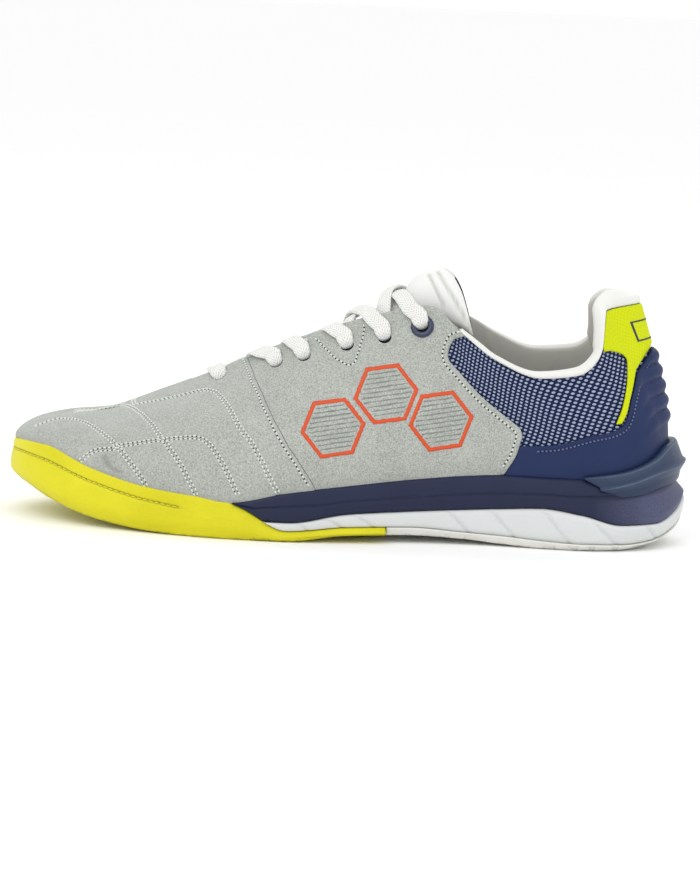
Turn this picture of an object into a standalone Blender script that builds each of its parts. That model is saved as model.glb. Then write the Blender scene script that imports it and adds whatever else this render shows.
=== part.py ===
"""An indoor football shoe for the left foot, in metres, +Z up.

The toe points to -X and the outer side of the foot faces -Y. The origin is on the ground under the middle of the
shoe. Every piece is worked out from one last: a closed line round the foot, and at each place on it a curve that
climbs from the sole to the top edge of the upper.
"""

import math

import bmesh
import bpy
from mathutils import Matrix, Vector

MM = 0.001

# The last. Tables below give their lengths as shares of these sizes.
SHOE_LENGTH = 290 * MM
BALL_WIDTH = 97 * MM
INSTEP_HEIGHT = 98 * MM
HEEL_HEIGHT = 99.5 * MM
SOLE_HEIGHT = 30 * MM
SOLE_FLARE = 10 * MM

# Thicknesses
UPPER_WALL = 1.6 * MM
PANEL_THICKNESS = 1.2 * MM
VAMP_THICKNESS = 1.6 * MM
COUNTER_THICKNESS = 1.5 * MM
TAB_THICKNESS = 0.8 * MM
CLEARANCE = 0.3 * MM
INSOLE_THICKNESS = 4 * MM
INSOLE_MARGIN = 1.2 * MM
COLLAR_PAD = 6.5 * MM
COLLAR_ROLL = 6 * MM
RIB_HEIGHT = 0.9 * MM
RIB_COUNT = 6
EYELET_HOLE_RADIUS = 2.5 * MM
EYELET_RING_RADIUS = 4.9 * MM
EYELET_RING_HEIGHT = 1.3 * MM
LACE_WIDTH = 7 * MM
LACE_THICKNESS = 1.8 * MM

# The bottom edge of the upper seen from above, from the tip of the toe to the back of the heel.
# along: share of the shoe's length, counted from the back. side: share of half the ball width, + to the inner side.
FOOTPRINT = (
    # outer along, outer side, inner along, inner side
    (0.986, 0.186, 0.986, 0.186),
    (0.971, -0.144, 0.974, 0.474),
    (0.931, -0.433, 0.938, 0.711),
    (0.866, -0.670, 0.872, 0.887),
    (0.783, -0.845, 0.790, 0.990),
    (0.707, -0.948, 0.707, 1.010),
    (0.659, -0.985, 0.659, 0.979),
    (0.576, -0.975, 0.576, 0.876),
    (0.493, -0.880, 0.493, 0.726),
    (0.403, -0.763, 0.403, 0.629),
    (0.328, -0.701, 0.328, 0.598),
    (0.266, -0.680, 0.266, 0.619),
    (0.210, -0.680, 0.210, 0.639),
    (0.155, -0.670, 0.155, 0.639),
    (0.105, -0.598, 0.105, 0.577),
    (0.066, -0.443, 0.066, 0.423),
    (0.043, -0.237, 0.043, 0.227),
    (0.0345, 0.000, 0.0345, 0.000),
)

# The upper's top edge at the same places: the ridge of the toe box, the sides of the throat, then the collar.
# ridge: its middle as a share of half the ball width. gap: half the opening, as the same share, on each side.
# height: share of the instep height, or of the heel height as heel part grows from 0 to 1, on each side.
TOPLINE = (
    # along, ridge, outer gap, inner gap, outer height, inner height, heel part
    (0.865, 0.175, 0.000, 0.000, 0.430, 0.430, 0.0),
    (0.865, 0.175, 0.000, 0.000, 0.430, 0.430, 0.0),
    (0.865, 0.175, 0.000, 0.000, 0.430, 0.430, 0.0),
    (0.850, 0.175, 0.000, 0.000, 0.442, 0.442, 0.0),
    (0.810, 0.165, 0.000, 0.000, 0.492, 0.492, 0.0),
    (0.762, 0.145, 0.000, 0.000, 0.553, 0.553, 0.0),
    (0.707, 0.115, 0.060, 0.060, 0.627, 0.627, 0.0),
    (0.631, 0.075, 0.196, 0.196, 0.745, 0.745, 0.0),
    (0.541, 0.040, 0.258, 0.258, 0.862, 0.862, 0.0),
    (0.452, 0.015, 0.300, 0.300, 0.954, 0.954, 0.0),
    (0.386, 0.000, 0.355, 0.355, 1.000, 1.000, 0.0),
    (0.338, 0.000, 0.500, 0.500, 0.895, 0.925, 0.1),
    (0.286, 0.000, 0.580, 0.570, 0.785, 0.840, 0.3),
    (0.224, 0.000, 0.608, 0.590, 0.720, 0.775, 0.5),
    (0.169, 0.000, 0.585, 0.570, 0.755, 0.800, 0.7),
    (0.143, 0.000, 0.535, 0.525, 0.870, 0.900, 0.9),
    (0.116, 0.000, 0.390, 0.385, 0.990, 0.990, 1.0),
    (0.082, 0.000, 0.000, 0.000, 1.010, 1.010, 1.0),
)

# How each curve climbs: rise and fall are shares of its height, at the sole and at the top edge, swell is a share of
# half the ball width, and reach is a share of the way from the top edge out to the sole's edge.
CLIMB = (
    # outer rise, outer swell, outer reach, outer fall, inner rise, inner swell, inner reach, inner fall
    (0.34, -0.040, 0.58, 0.18, 0.34, -0.040, 0.58, 0.18),
    (0.40, -0.025, 0.58, 0.11, 0.42, -0.020, 0.58, 0.11),
    (0.52, 0.000, 0.58, 0.05, 0.56, 0.005, 0.58, 0.05),
    (0.62, 0.030, 0.56, 0.02, 0.68, 0.030, 0.56, 0.02),
    (0.60, 0.040, 0.55, -0.02, 0.68, 0.040, 0.52, -0.02),
    (0.57, 0.050, 0.55, 0.00, 0.64, 0.040, 0.52, 0.00),
    (0.54, 0.050, 0.54, 0.06, 0.60, 0.030, 0.50, 0.08),
    (0.50, 0.040, 0.54, 0.16, 0.55, 0.020, 0.50, 0.18),
    (0.46, 0.030, 0.54, 0.24, 0.50, 0.010, 0.50, 0.26),
    (0.42, 0.030, 0.55, 0.30, 0.46, 0.010, 0.52, 0.32),
    (0.38, 0.030, 0.48, 0.32, 0.42, 0.015, 0.48, 0.34),
    (0.35, 0.035, 0.34, 0.34, 0.38, 0.025, 0.34, 0.34),
    (0.34, 0.040, 0.30, 0.34, 0.35, 0.035, 0.30, 0.34),
    (0.33, 0.050, 0.26, 0.34, 0.34, 0.045, 0.26, 0.34),
    (0.32, 0.060, 0.26, 0.34, 0.33, 0.055, 0.26, 0.34),
    (0.32, 0.065, 0.30, 0.34, 0.32, 0.060, 0.30, 0.34),
    (0.34, 0.070, 0.40, 0.34, 0.34, 0.065, 0.40, 0.34),
    (0.36, 0.075, 0.50, 0.32, 0.36, 0.075, 0.50, 0.32),
)

# The sole's side at the same places. Heights are shares of the sole's height, and the ways out from the upper's
# bottom edge are shares of the sole's flare.
SOLE_SIDE = (
    # bite, footbed, crease, lip, ledge, ground | rim out, crease out, lip out, ledge out, ground out
    (1.067, 0.633, 0.933, 0.700, 0.583, 0.433, 0.27, 0.30, 0.40, 0.34, -0.20),
    (1.100, 0.617, 0.930, 0.690, 0.567, 0.417, 0.27, 0.30, 0.40, 0.34, -0.15),
    (1.080, 0.550, 0.880, 0.600, 0.450, 0.293, 0.27, 0.30, 0.40, 0.36, -0.05),
    (0.850, 0.433, 0.700, 0.450, 0.300, 0.127, 0.28, 0.32, 0.40, 0.38, 0.10),
    (0.655, 0.350, 0.540, 0.340, 0.200, 0.027, 0.28, 0.34, 0.40, 0.40, 0.15),
    (0.575, 0.333, 0.470, 0.300, 0.170, 0.000, 0.28, 0.34, 0.40, 0.40, 0.15),
    (0.520, 0.350, 0.430, 0.290, 0.165, 0.000, 0.28, 0.34, 0.40, 0.40, 0.15),
    (0.693, 0.433, 0.500, 0.270, 0.150, 0.000, 0.28, 0.36, 0.36, 0.34, 0.12),
    (0.800, 0.567, 0.540, 0.400, 0.210, 0.090, 0.28, 0.42, 0.32, 0.28, 0.08),
    (0.905, 0.717, 0.610, 0.455, 0.225, 0.107, 0.28, 0.45, 0.32, 0.28, 0.08),
    (0.975, 0.817, 0.650, 0.500, 0.180, 0.080, 0.28, 0.47, 0.38, 0.34, 0.14),
    (1.010, 0.850, 0.700, 0.540, 0.150, 0.030, 0.28, 0.49, 0.46, 0.44, 0.24),
    (1.000, 0.867, 0.740, 0.570, 0.115, 0.000, 0.26, 0.50, 0.54, 0.56, 0.34),
    (1.000, 0.867, 0.760, 0.500, 0.095, 0.000, 0.22, 0.54, 0.66, 0.66, 0.38),
    (1.000, 0.867, 0.790, 0.375, 0.095, 0.000, 0.20, 0.60, 0.82, 0.70, 0.32),
    (1.000, 0.867, 0.870, 0.380, 0.130, 0.033, 0.20, 0.64, 0.92, 0.68, 0.12),
    (1.000, 0.867, 0.915, 0.520, 0.240, 0.107, 0.20, 0.64, 1.00, 0.76, 0.05),
    (1.000, 0.867, 0.940, 0.680, 0.370, 0.167, 0.20, 0.62, 1.06, 0.90, 0.20),
)

LAST_ROW = len(FOOTPRINT) - 1


def smooth_between(values, place):
    """A closed row of values read at any place on it, along a smooth curve through them."""
    count = len(values)
    low = math.floor(place)
    share = place - low
    before, here, after, beyond = (values[(low + k) % count] for k in (-1, 0, 1, 2))
    start = (after - before) / 2
    end = (beyond - here) / 2
    return hermite(here, after, start, end, share)


def steady_between(values, place):
    """As smooth_between, but the curve never passes beyond the values on either side of it."""
    count = len(values)
    low = math.floor(place)
    share = place - low
    before, here, after, beyond = (values[(low + k) % count] for k in (-1, 0, 1, 2))
    start = steady_slope(here - before, after - here)
    end = steady_slope(after - here, beyond - after)
    return hermite(here, after, start, end, share)


def steady_slope(left, right):
    return 0.0 if left * right <= 0 else 2 * left * right / (left + right)


def hermite(here, after, start, end, share):
    square, cube = share * share, share * share * share
    return (
        here * (2 * cube - 3 * square + 1)
        + start * (cube - 2 * square + share)
        + after * (3 * square - 2 * cube)
        + end * (cube - square)
    )


def loop_of(table, outer_column, inner_column):
    """One column read all the way round: the outer side toe to heel, then the inner side heel to toe."""
    outer = [row[outer_column] for row in table]
    inner = [row[inner_column] for row in table]
    return outer + inner[-2:0:-1]


PLACES = 2 * LAST_ROW
HALF_BALL = BALL_WIDTH / 2

footprint_along = loop_of(FOOTPRINT, 0, 2)
footprint_side = loop_of(FOOTPRINT, 1, 3)
top_along = loop_of(TOPLINE, 0, 0)
top_ridge = loop_of(TOPLINE, 1, 1)
top_gap = [-gap if place < LAST_ROW else gap for place, gap in enumerate(loop_of(TOPLINE, 2, 3))]
top_height = loop_of(TOPLINE, 4, 5)
top_heel_part = loop_of(TOPLINE, 6, 6)
climb_rise = loop_of(CLIMB, 0, 4)
climb_swell = loop_of(CLIMB, 1, 5)
climb_reach = loop_of(CLIMB, 2, 6)
climb_fall = loop_of(CLIMB, 3, 7)
sole_columns = [loop_of(SOLE_SIDE, k, k) for k in range(len(SOLE_SIDE[0]))]
BITE, FOOTBED, CREASE, LIP, LEDGE, GROUND, RIM_OUT, CREASE_OUT, LIP_OUT, LEDGE_OUT, GROUND_OUT = range(11)


def x_at(along):
    return SHOE_LENGTH * (0.5 - along)


def sole_height(column, place):
    return SOLE_HEIGHT * steady_between(sole_columns[column], place)


def sole_way_out(column, place):
    return SOLE_FLARE * steady_between(sole_columns[column], place)


def footprint_point(place, height=0.0, out=0.0):
    """A point on the upper's bottom line at that place, moved outwards by out."""
    x = x_at(smooth_between(footprint_along, place))
    y = HALF_BALL * smooth_between(footprint_side, place)
    return Vector((x, y, height)) + outward(place) * out


def outward(place):
    """The level direction away from the shoe at that place."""
    step = 0.02
    ahead = [x_at(smooth_between(footprint_along, place + k)) for k in (-step, step)]
    across = [HALF_BALL * smooth_between(footprint_side, place + k) for k in (-step, step)]
    return Vector((-(across[1] - across[0]), ahead[1] - ahead[0], 0)).normalized() * -1


def top_point(place):
    """The upper's top edge at that place."""
    heel_part = steady_between(top_heel_part, place)
    full = INSTEP_HEIGHT * (1 - heel_part) + HEEL_HEIGHT * heel_part
    x = x_at(steady_between(top_along, place))
    middle = steady_between(top_ridge, place)
    gap = steady_between(top_gap, place)
    return Vector((x, HALF_BALL * (middle + gap), full * steady_between(top_height, place)))


def last_point(place, climb):
    """A point on the upper's outer surface. climb is -1 at its bottom edge, 0 at the sole's edge and 1 at the top."""
    bite = sole_height(BITE, place)
    foot = footprint_point(place, bite)
    if climb <= 0:
        bottom = sole_height(FOOTBED, place) + CLEARANCE
        return Vector((foot.x, foot.y, bite + climb * (bite - bottom)))
    top = top_point(place)
    tall = top.z - foot.z
    away = Vector((foot.x - top.x, foot.y - top.y, 0))
    rise = steady_between(climb_rise, place) * tall
    swell = steady_between(climb_swell, place) * HALF_BALL
    fall = steady_between(climb_fall, place) * tall
    low_handle = foot + outward(place) * swell + Vector((0, 0, rise))
    high_handle = top + away * steady_between(climb_reach, place) - Vector((0, 0, fall))
    rest = 1 - climb
    return (
        foot * rest**3
        + low_handle * (3 * rest**2 * climb)
        + high_handle * (3 * rest * climb**2)
        + top * climb**3
    )


def last_tangent(place, climb):
    """The direction in which the curve climbs."""
    step = 0.01
    low = max(climb - step, 0.0)
    high = min(low + 2 * step, 1.0)
    return (last_point(place, high) - last_point(place, high - 2 * step)).normalized()


def plain_normal(place, climb):
    step = 0.04
    along = last_point(place + step, climb) - last_point(place - step, climb)
    return along.cross(last_tangent(place, climb)).normalized()


def on_ridge(place):
    return abs(steady_between(top_gap, place)) < 1e-6 and folded(place) < LAST_ROW / 2


def folded(place):
    """The same place counted on the outer side, from the toe."""
    place = place % PLACES
    return min(place, PLACES - place)


NEAR_TOP = 0.985
POLE_ROW = 2


def last_normal(place, climb):
    """The direction away from the foot on the upper's outer surface."""
    if climb <= 0:
        return outward(place)
    if climb < NEAR_TOP or not on_ridge(place):
        return plain_normal(place, climb)
    if folded(place) <= POLE_ROW:
        around = (0, POLE_ROW * 0.8, -POLE_ROW * 0.8)
        return sum((plain_normal(k, NEAR_TOP) for k in around), Vector()).normalized()
    both = plain_normal(place, NEAR_TOP) + plain_normal(-place, NEAR_TOP)
    return both.normalized()


def shell_point(place, climb, offset):
    return last_point(place, climb) + last_normal(place, climb) * offset


# Building solids

MERGE = 0.01 * MM


def clear_scene():
    for item in list(bpy.data.objects):
        bpy.data.objects.remove(item, do_unlink=True)


def make_material(name, colour, roughness):
    material = bpy.data.materials.new(name)
    material.use_nodes = True
    shader = material.node_tree.nodes["Principled BSDF"]
    shader.inputs["Base Color"].default_value = (*colour, 1)
    shader.inputs["Roughness"].default_value = roughness
    material.diffuse_color = (*colour, 1)
    return material


def add_object(name, vertices, faces, material):
    """A named closed solid from its corners and faces."""
    mesh = bpy.data.meshes.new(name)
    mesh.from_pydata([tuple(v) for v in vertices], [], faces)
    shape = bmesh.new()
    shape.from_mesh(mesh)
    bmesh.ops.remove_doubles(shape, verts=shape.verts, dist=MERGE)
    bmesh.ops.dissolve_degenerate(shape, dist=MERGE, edges=shape.edges)
    bmesh.ops.triangulate(shape, faces=shape.faces, ngon_method="EAR_CLIP")
    bmesh.ops.recalc_face_normals(shape, faces=shape.faces)
    if shape.calc_volume(signed=True) < 0:
        bmesh.ops.reverse_faces(shape, faces=shape.faces)
    shape.to_mesh(mesh)
    shape.free()
    mesh.materials.append(material)
    item = bpy.data.objects.new(name, mesh)
    bpy.context.scene.collection.objects.link(item)
    return item


def combine(item, other, operation):
    """Unite an object with another or cut the other out of it; the other one goes."""
    change = item.modifiers.new(operation.lower(), "BOOLEAN")
    change.operation = operation
    change.solver = "EXACT"
    change.object = other
    settled = bpy.data.meshes.new_from_object(item.evaluated_get(bpy.context.evaluated_depsgraph_get()))
    item.modifiers.clear()
    material = item.data.materials[0]
    item.data = settled
    settled.materials.clear()
    settled.materials.append(material)
    bpy.data.objects.remove(other, do_unlink=True)
    shape = bmesh.new()
    shape.from_mesh(settled)
    bmesh.ops.remove_doubles(shape, verts=shape.verts, dist=MERGE)
    bmesh.ops.dissolve_degenerate(shape, dist=MERGE, edges=shape.edges)
    bmesh.ops.triangulate(shape, faces=shape.faces)
    shape.to_mesh(settled)
    shape.free()


def corner_key(place, climb):
    """Corners that are one point get one key: the ridge is shared by both sides, and the toe's end is one point."""
    if climb > 1 - 1e-9 and on_ridge(place):
        if folded(place) <= POLE_ROW:
            return "pole"
        return ("ridge", round(folded(place), 5))
    return (round(place % PLACES, 5), round(climb, 6))


def add_shell(name, grid, low_offset, high_offset, material, closed=False):
    """A solid between two offsets from the last, over a grid of places and climbs. An offset may be a function."""
    numbers = {}
    corners = []
    table = []
    for column in grid:
        line = []
        for place, climb in column:
            key = corner_key(place, climb)
            if key not in numbers:
                numbers[key] = len(corners)
                corners.append((place, climb))
            line.append(numbers[key])
        table.append(line)
    faces = []
    pairs = list(zip(table, table[1:]))
    if closed:
        pairs.append((table[-1], table[0]))
    for first, second in pairs:
        for k in range(len(first) - 1):
            ring = [first[k], second[k], second[k + 1], first[k + 1]]
            ring = [c for n, c in enumerate(ring) if c != ring[n - 1]]
            if len(set(ring)) >= 3:
                faces.append(ring)
    used = {}
    for face in faces:
        for start, end in zip(face, face[1:] + face[:1]):
            used[(start, end)] = used.get((start, end), 0) + 1
    edges = [pair for pair in used if (pair[1], pair[0]) not in used]
    count = len(corners)
    vertices = []
    for offset in (high_offset, low_offset):
        for place, climb in corners:
            way = offset(place, climb) if callable(offset) else offset
            vertices.append(shell_point(place, climb, way))
    solid = list(faces)
    solid += [[c + count for c in reversed(face)] for face in faces]
    solid += [[end, start, start + count, end + count] for start, end in edges]
    return add_object(name, vertices, solid, material)


def add_loft(name, sections, material, first_cap=True, last_cap=True):
    """A solid through a row of closed sections with the same number of corners."""
    size = len(sections[0])
    vertices = [point for section in sections for point in section]
    faces = []
    for k in range(len(sections) - 1):
        base = k * size
        for n in range(size):
            after = (n + 1) % size
            faces.append([base + n, base + after, base + size + after, base + size + n])
    if first_cap:
        faces.append(list(range(size)))
    if last_cap:
        faces.append([len(vertices) - size + n for n in range(size)])
    return add_object(name, vertices, faces, material)


def steps(start, end, count):
    return [start + (end - start) * k / count for k in range(count + 1)]


def row_value(table, key, column):
    """A column of a table read between its rows by the first column."""
    if key <= table[0][0]:
        return table[0][column]
    for low, high in zip(table, table[1:]):
        if key <= high[0]:
            share = (key - low[0]) / (high[0] - low[0])
            return low[column] + (high[column] - low[column]) * share
    return table[-1][column]


# Places where two pieces of the sole part, counted on the outer side from the toe
MIDSOLE_TIP = 6.0
MIDSOLE_FLOOR = 6.5
LOWER_MIDSOLE_TIP = 6.8
BUMPER_END = 5.9
BUMPER_FOOT = 6.95
OUTSOLE_SPLIT = 8.6
STABILIZER_TIP = 13.0
SEAM_GAP = 0.35 * MM
STATIONS = sorted(
    set(steps(0, LAST_ROW, 2 * LAST_ROW))
    | {BUMPER_END, 6.25, MIDSOLE_FLOOR, LOWER_MIDSOLE_TIP, BUMPER_FOOT, OUTSOLE_SPLIT}
)


def stations_between(start, end):
    inside = [place for place in STATIONS if start < place < end]
    return [start] + inside + [end]


def bumper_top(place):
    """Top of the outsole's side: the sole's edge at the toe, then a slope down to the ledge."""
    if place <= BUMPER_END:
        return sole_height(BITE, place)
    share = min((place - BUMPER_END) / (BUMPER_FOOT - BUMPER_END), 1.0)
    share = share * share * (3 - 2 * share)
    return sole_height(BITE, place) * (1 - share) + sole_height(LEDGE, place) * share


def both_sides(place, profile):
    """A level-by-level profile of heights and ways out, set on the outer side and on the inner side."""
    outer = [footprint_point(place, height, out) for height, out in profile]
    inner = [footprint_point(PLACES - place, height, out) for height, out in profile]
    return outer + inner[::-1]


GROOVE_HALF_WIDTH = 0.7 * MM
GROOVE_DEPTH = 0.9 * MM


def forefoot_section(place):
    ground = sole_height(GROUND, place)
    top = bumper_top(place)
    squeeze = (top - ground) / (sole_height(BITE, place) - ground)
    crease = sole_height(CREASE, place)
    crease_out = sole_way_out(CREASE_OUT, place)
    rim_out = sole_way_out(RIM_OUT, place)
    groove_depth = GROOVE_DEPTH * squeeze
    levels = [
        (ground, sole_way_out(GROUND_OUT, place)),
        (sole_height(LEDGE, place), sole_way_out(LEDGE_OUT, place)),
        (sole_height(LIP, place), sole_way_out(LIP_OUT, place)),
        (crease - GROOVE_HALF_WIDTH, crease_out + 0.4 * MM),
        (crease, crease_out - groove_depth),
        (crease + GROOVE_HALF_WIDTH, crease_out),
        (sole_height(BITE, place) - 0.6 * MM, rim_out),
        (sole_height(BITE, place), rim_out - 0.8 * MM),
        (sole_height(BITE, place), SEAM_GAP),
    ]
    profile = [(ground + (height - ground) * squeeze, out) for height, out in levels]
    profile.append((min(sole_height(FOOTBED, place), top), SEAM_GAP))
    return both_sides(place, profile)


def midsole_bottom(place):
    return max(sole_height(LIP, place) + 0.5 * SEAM_GAP, bumper_top(place) + SEAM_GAP)


def midsole_profile(place):
    bottom = midsole_bottom(place)
    bite = sole_height(BITE, place)
    bottom = min(bottom, bite - 0.4 * MM)
    crease = max(sole_height(CREASE, place), bottom + 0.45 * (bite - bottom))
    crease_out = sole_way_out(CREASE_OUT, place)
    rim_out = sole_way_out(RIM_OUT, place)
    return [
        (bottom, SEAM_GAP),
        (bottom, sole_way_out(LIP_OUT, place)),
        (crease, crease_out),
        (bite - 0.12 * (bite - crease), rim_out + 0.12 * (crease_out - rim_out)),
        (bite, rim_out - 0.8 * MM),
        (bite, SEAM_GAP),
        (max(sole_height(FOOTBED, place), bottom), SEAM_GAP),
    ]


def add_midsole(material):
    """The navy middle of the sole: a cup round the foot with a horn on each side that runs out at the toe."""
    vertices = []
    faces = []
    places = stations_between(MIDSOLE_TIP + 0.05, LAST_ROW)
    size = len(midsole_profile(places[0]))
    for place in places:
        vertices += both_sides(place, midsole_profile(place))
    for k, place in enumerate(places[:-1]):
        base = 2 * size * k
        beyond = base + 2 * size
        full = place >= MIDSOLE_FLOOR - 1e-6
        links = list(zip(range(2 * size), range(1, 2 * size)))
        if full:
            links.append((2 * size - 1, 0))
        else:
            links.remove((size - 1, size))
            links += [(size - 1, 0), (2 * size - 1, size)]
        faces += [[base + a, base + b, beyond + b, beyond + a] for a, b in links]
    start = 2 * size * places.index(MIDSOLE_FLOOR)
    faces.append([start, start + size - 1, start + size, start + 2 * size - 1])
    faces.append(list(range(size)))
    faces.append(list(range(size, 2 * size)))
    return add_object("midsole", vertices, faces, material)


def lower_midsole_section(place):
    bottom = bumper_top(place) + SEAM_GAP
    top = sole_height(LIP, place) - 0.5 * SEAM_GAP
    middle = (bottom + top) / 2
    lip_out = sole_way_out(LIP_OUT, place)
    ledge_out = sole_way_out(LEDGE_OUT, place)
    return both_sides(place, [
        (bottom, ledge_out - 0.5 * MM),
        (bottom + 0.15 * (top - bottom), ledge_out + 0.2 * MM),
        (middle, (lip_out + ledge_out) / 2 + 0.3 * MM),
        (top, lip_out - 0.3 * MM),
        (top, SEAM_GAP),
    ])


def heel_outsole_section(place):
    ground = sole_height(GROUND, place)
    ledge = sole_height(LEDGE, place)
    ground_out = sole_way_out(GROUND_OUT, place)
    ledge_out = sole_way_out(LEDGE_OUT, place)
    return both_sides(place, [
        (ground, ground_out),
        (ground + 0.55 * (ledge - ground), ground_out + 0.75 * (ledge_out - ground_out)),
        (ledge, ledge_out),
    ])


def insole_section(place):
    floor = sole_height(FOOTBED, place) + CLEARANCE
    out = -(UPPER_WALL + CLEARANCE + INSOLE_MARGIN)
    return both_sides(place, [
        (floor, out - 0.8 * MM),
        (floor + 0.3 * INSOLE_THICKNESS, out),
        (floor + INSOLE_THICKNESS, out),
    ])


# The stabilizer's section by place: ridge out and height above the crease, top's climb and thickness
STABILIZER = (
    # place, ridge out, ridge height, top climb, thickness (out and thickness in shares of the sole's flare)
    (13.0, 0.50, 0.10, 0.020, 0.08),
    (13.5, 0.62, 0.14, 0.045, 0.12),
    (14.0, 0.66, 0.18, 0.070, 0.15),
    (14.5, 0.70, 0.21, 0.100, 0.18),
    (15.0, 0.74, 0.23, 0.130, 0.20),
    (16.0, 0.80, 0.26, 0.190, 0.22),
    (17.0, 0.84, 0.28, 0.215, 0.22),
)


def stabilizer_section(place):
    near = folded(place)
    crease = sole_height(CREASE, place)
    crease_out = sole_way_out(CREASE_OUT, place)
    bite = sole_height(BITE, place)
    rim_out = sole_way_out(RIM_OUT, place)
    ridge_out = SOLE_FLARE * row_value(STABILIZER, near, 1)
    ridge = crease + SOLE_HEIGHT * row_value(STABILIZER, near, 2)
    climb = row_value(STABILIZER, near, 3)
    thick = SOLE_FLARE * row_value(STABILIZER, near, 4)
    inner = CLEARANCE + COUNTER_THICKNESS + RIB_HEIGHT + SEAM_GAP
    gap = 0.5 * MM
    return [
        footprint_point(place, crease + gap, crease_out + gap),
        footprint_point(place, crease + 0.3 * gap, crease_out + gap + 0.5 * thick),
        footprint_point(place, ridge, ridge_out + 0.5 * thick),
        shell_point(place, climb, inner + thick),
        shell_point(place, climb + 0.012, inner + 0.35 * thick),
        shell_point(place, climb, inner),
        footprint_point(place, bite + 0.8 * MM, max(rim_out + gap, inner)),
    ]


# Panels on the upper. seam: where the toe panel ends. rear: where the side panel ends.
SIDE_PANEL = (
    # climb, seam place, rear place
    (0.000, 7.45, 10.95),
    (0.055, 7.35, 11.07),
    (0.100, 7.26, 11.18),
    (0.167, 7.15, 11.32),
    (0.250, 7.01, 11.46),
    (0.320, 6.94, 11.60),
    (0.383, 6.88, 11.62),
    (0.420, 6.85, 11.46),
    (0.507, 6.80, 10.88),
    (0.565, 6.78, 10.45),
    (0.643, 6.76, 10.10),
    (0.688, 6.75, 10.05),
    (0.757, 6.74, 10.19),
    (0.873, 6.76, 10.55),
    (1.000, 6.80, 10.96),
)
PANEL_FOOT = 0.020
PANEL_ROWS = (PANEL_FOOT, 0.130, 0.250, 0.350, 0.420, 0.520, 0.640, 0.720, 0.820, 0.920, 1.0)
VAMP_ROWS = (PANEL_FOOT, 0.130, 0.260, 0.400, 0.550, 0.700, 0.850, 1.0)
UPPER_ROWS = (-1, 0, 0.130, 0.270, 0.420, 0.570, 0.710, 0.820, 0.920, 1.0)
PANEL_SEAM_GAP = 0.02
PANEL_GAP = 0.55 * MM
TOE_PIECES = 14

COUNTER = (
    # place, top climb
    (11.50, 0.233),
    (12.34, 0.302),
    (12.99, 0.380),
    (13.64, 0.438),
    (14.30, 0.463),
    (14.86, 0.460),
    (15.24, 0.535),
    (15.66, 0.602),
    (16.21, 0.705),
    (16.48, 0.748),
    (16.75, 0.783),
    (17.00, 0.800),
)
RIB_START = 0.28
RIB_END = 0.80

TAB = (
    # lower place, lower climb, upper place, upper climb
    (14.50, 0.475, 14.46, 0.500),
    (14.95, 0.496, 14.80, 0.548),
    (15.24, 0.556, 15.13, 0.600),
    (15.66, 0.617, 15.58, 0.675),
    (15.95, 0.670, 15.80, 0.723),
    (16.10, 0.700, 15.85, 0.762),
    (16.28, 0.730, 15.60, 0.835),
    (16.42, 0.758, 15.18, 0.920),
    (16.55, 0.775, 15.30, 0.970),
    (16.70, 0.794, 15.80, 0.970),
    (16.85, 0.808, 16.40, 0.970),
    (17.00, 0.818, 17.00, 0.970),
)


def upper_columns():
    return steps(0, PLACES - 0.5, 2 * PLACES - 1)


def add_upper(material):
    grid = [[(place, climb) for climb in UPPER_ROWS] for place in upper_columns()]
    return add_shell("upper", grid, -UPPER_WALL, 0.0, material, closed=True)


def add_toe_panel(material):
    grid = []
    for share in steps(-1, 1, 2 * TOE_PIECES):
        grid.append([(share * row_value(SIDE_PANEL, climb, 1), climb) for climb in VAMP_ROWS])
    return add_shell("toe_panel", grid, PANEL_GAP, PANEL_GAP + VAMP_THICKNESS, material)


def add_side_panel(name, inner_side, material):
    grid = []
    for share in steps(0, 1, 8):
        column = []
        for climb in PANEL_ROWS:
            start = row_value(SIDE_PANEL, climb, 1) + PANEL_SEAM_GAP
            end = row_value(SIDE_PANEL, climb, 2)
            place = start + (end - start) * share
            column.append((PLACES - place if inner_side else place, climb))
        grid.append(column)
    grid = grid[::-1] if inner_side else grid
    return add_shell(name, grid, PANEL_GAP, PANEL_GAP + PANEL_THICKNESS, material)


def counter_offset(place, climb):
    """Ribs run round the back of the heel and die out to the sides."""
    near = folded(place)
    fade = max(0.0, min(1.0, (near - 14.6) / 1.2))
    share = (climb - RIB_START) / (RIB_END - RIB_START)
    rib = 0.0
    if 0 < share < 1:
        rib = abs(math.sin(math.pi * share * RIB_COUNT))
    return SEAM_GAP + COUNTER_THICKNESS - 0.3 * MM + RIB_HEIGHT * fade * rib


def add_counter(material):
    grid = []
    for share in steps(-1, 1, 20):
        column = []
        for level in steps(0, 1, 10):
            front_climb = PANEL_FOOT + (COUNTER[0][1] - PANEL_FOOT) * level
            start = row_value(SIDE_PANEL, front_climb, 2) + PANEL_SEAM_GAP
            near = LAST_ROW - (LAST_ROW - start) * abs(share)
            top = row_value(COUNTER, near, 1)
            place = near if share < 0 else PLACES - near
            column.append((place, PANEL_FOOT + (top - PANEL_FOOT) * level))
        grid.append(column)
    return add_shell("heel_counter", grid, SEAM_GAP, counter_offset, material)


def add_tab(material):
    grid = []
    halves = [(row, 1) for row in TAB] + [(row, -1) for row in TAB[-2::-1]]
    for row, side in halves:
        column = []
        for share in steps(0, 1, 4):
            near = row[0] + (row[2] - row[0]) * share
            climb = row[1] + (row[3] - row[1]) * share
            column.append((near if side > 0 else PLACES - near, climb))
        grid.append(column)
    return add_shell("heel_tab", grid, PANEL_GAP, PANEL_GAP + TAB_THICKNESS, material)


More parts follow.
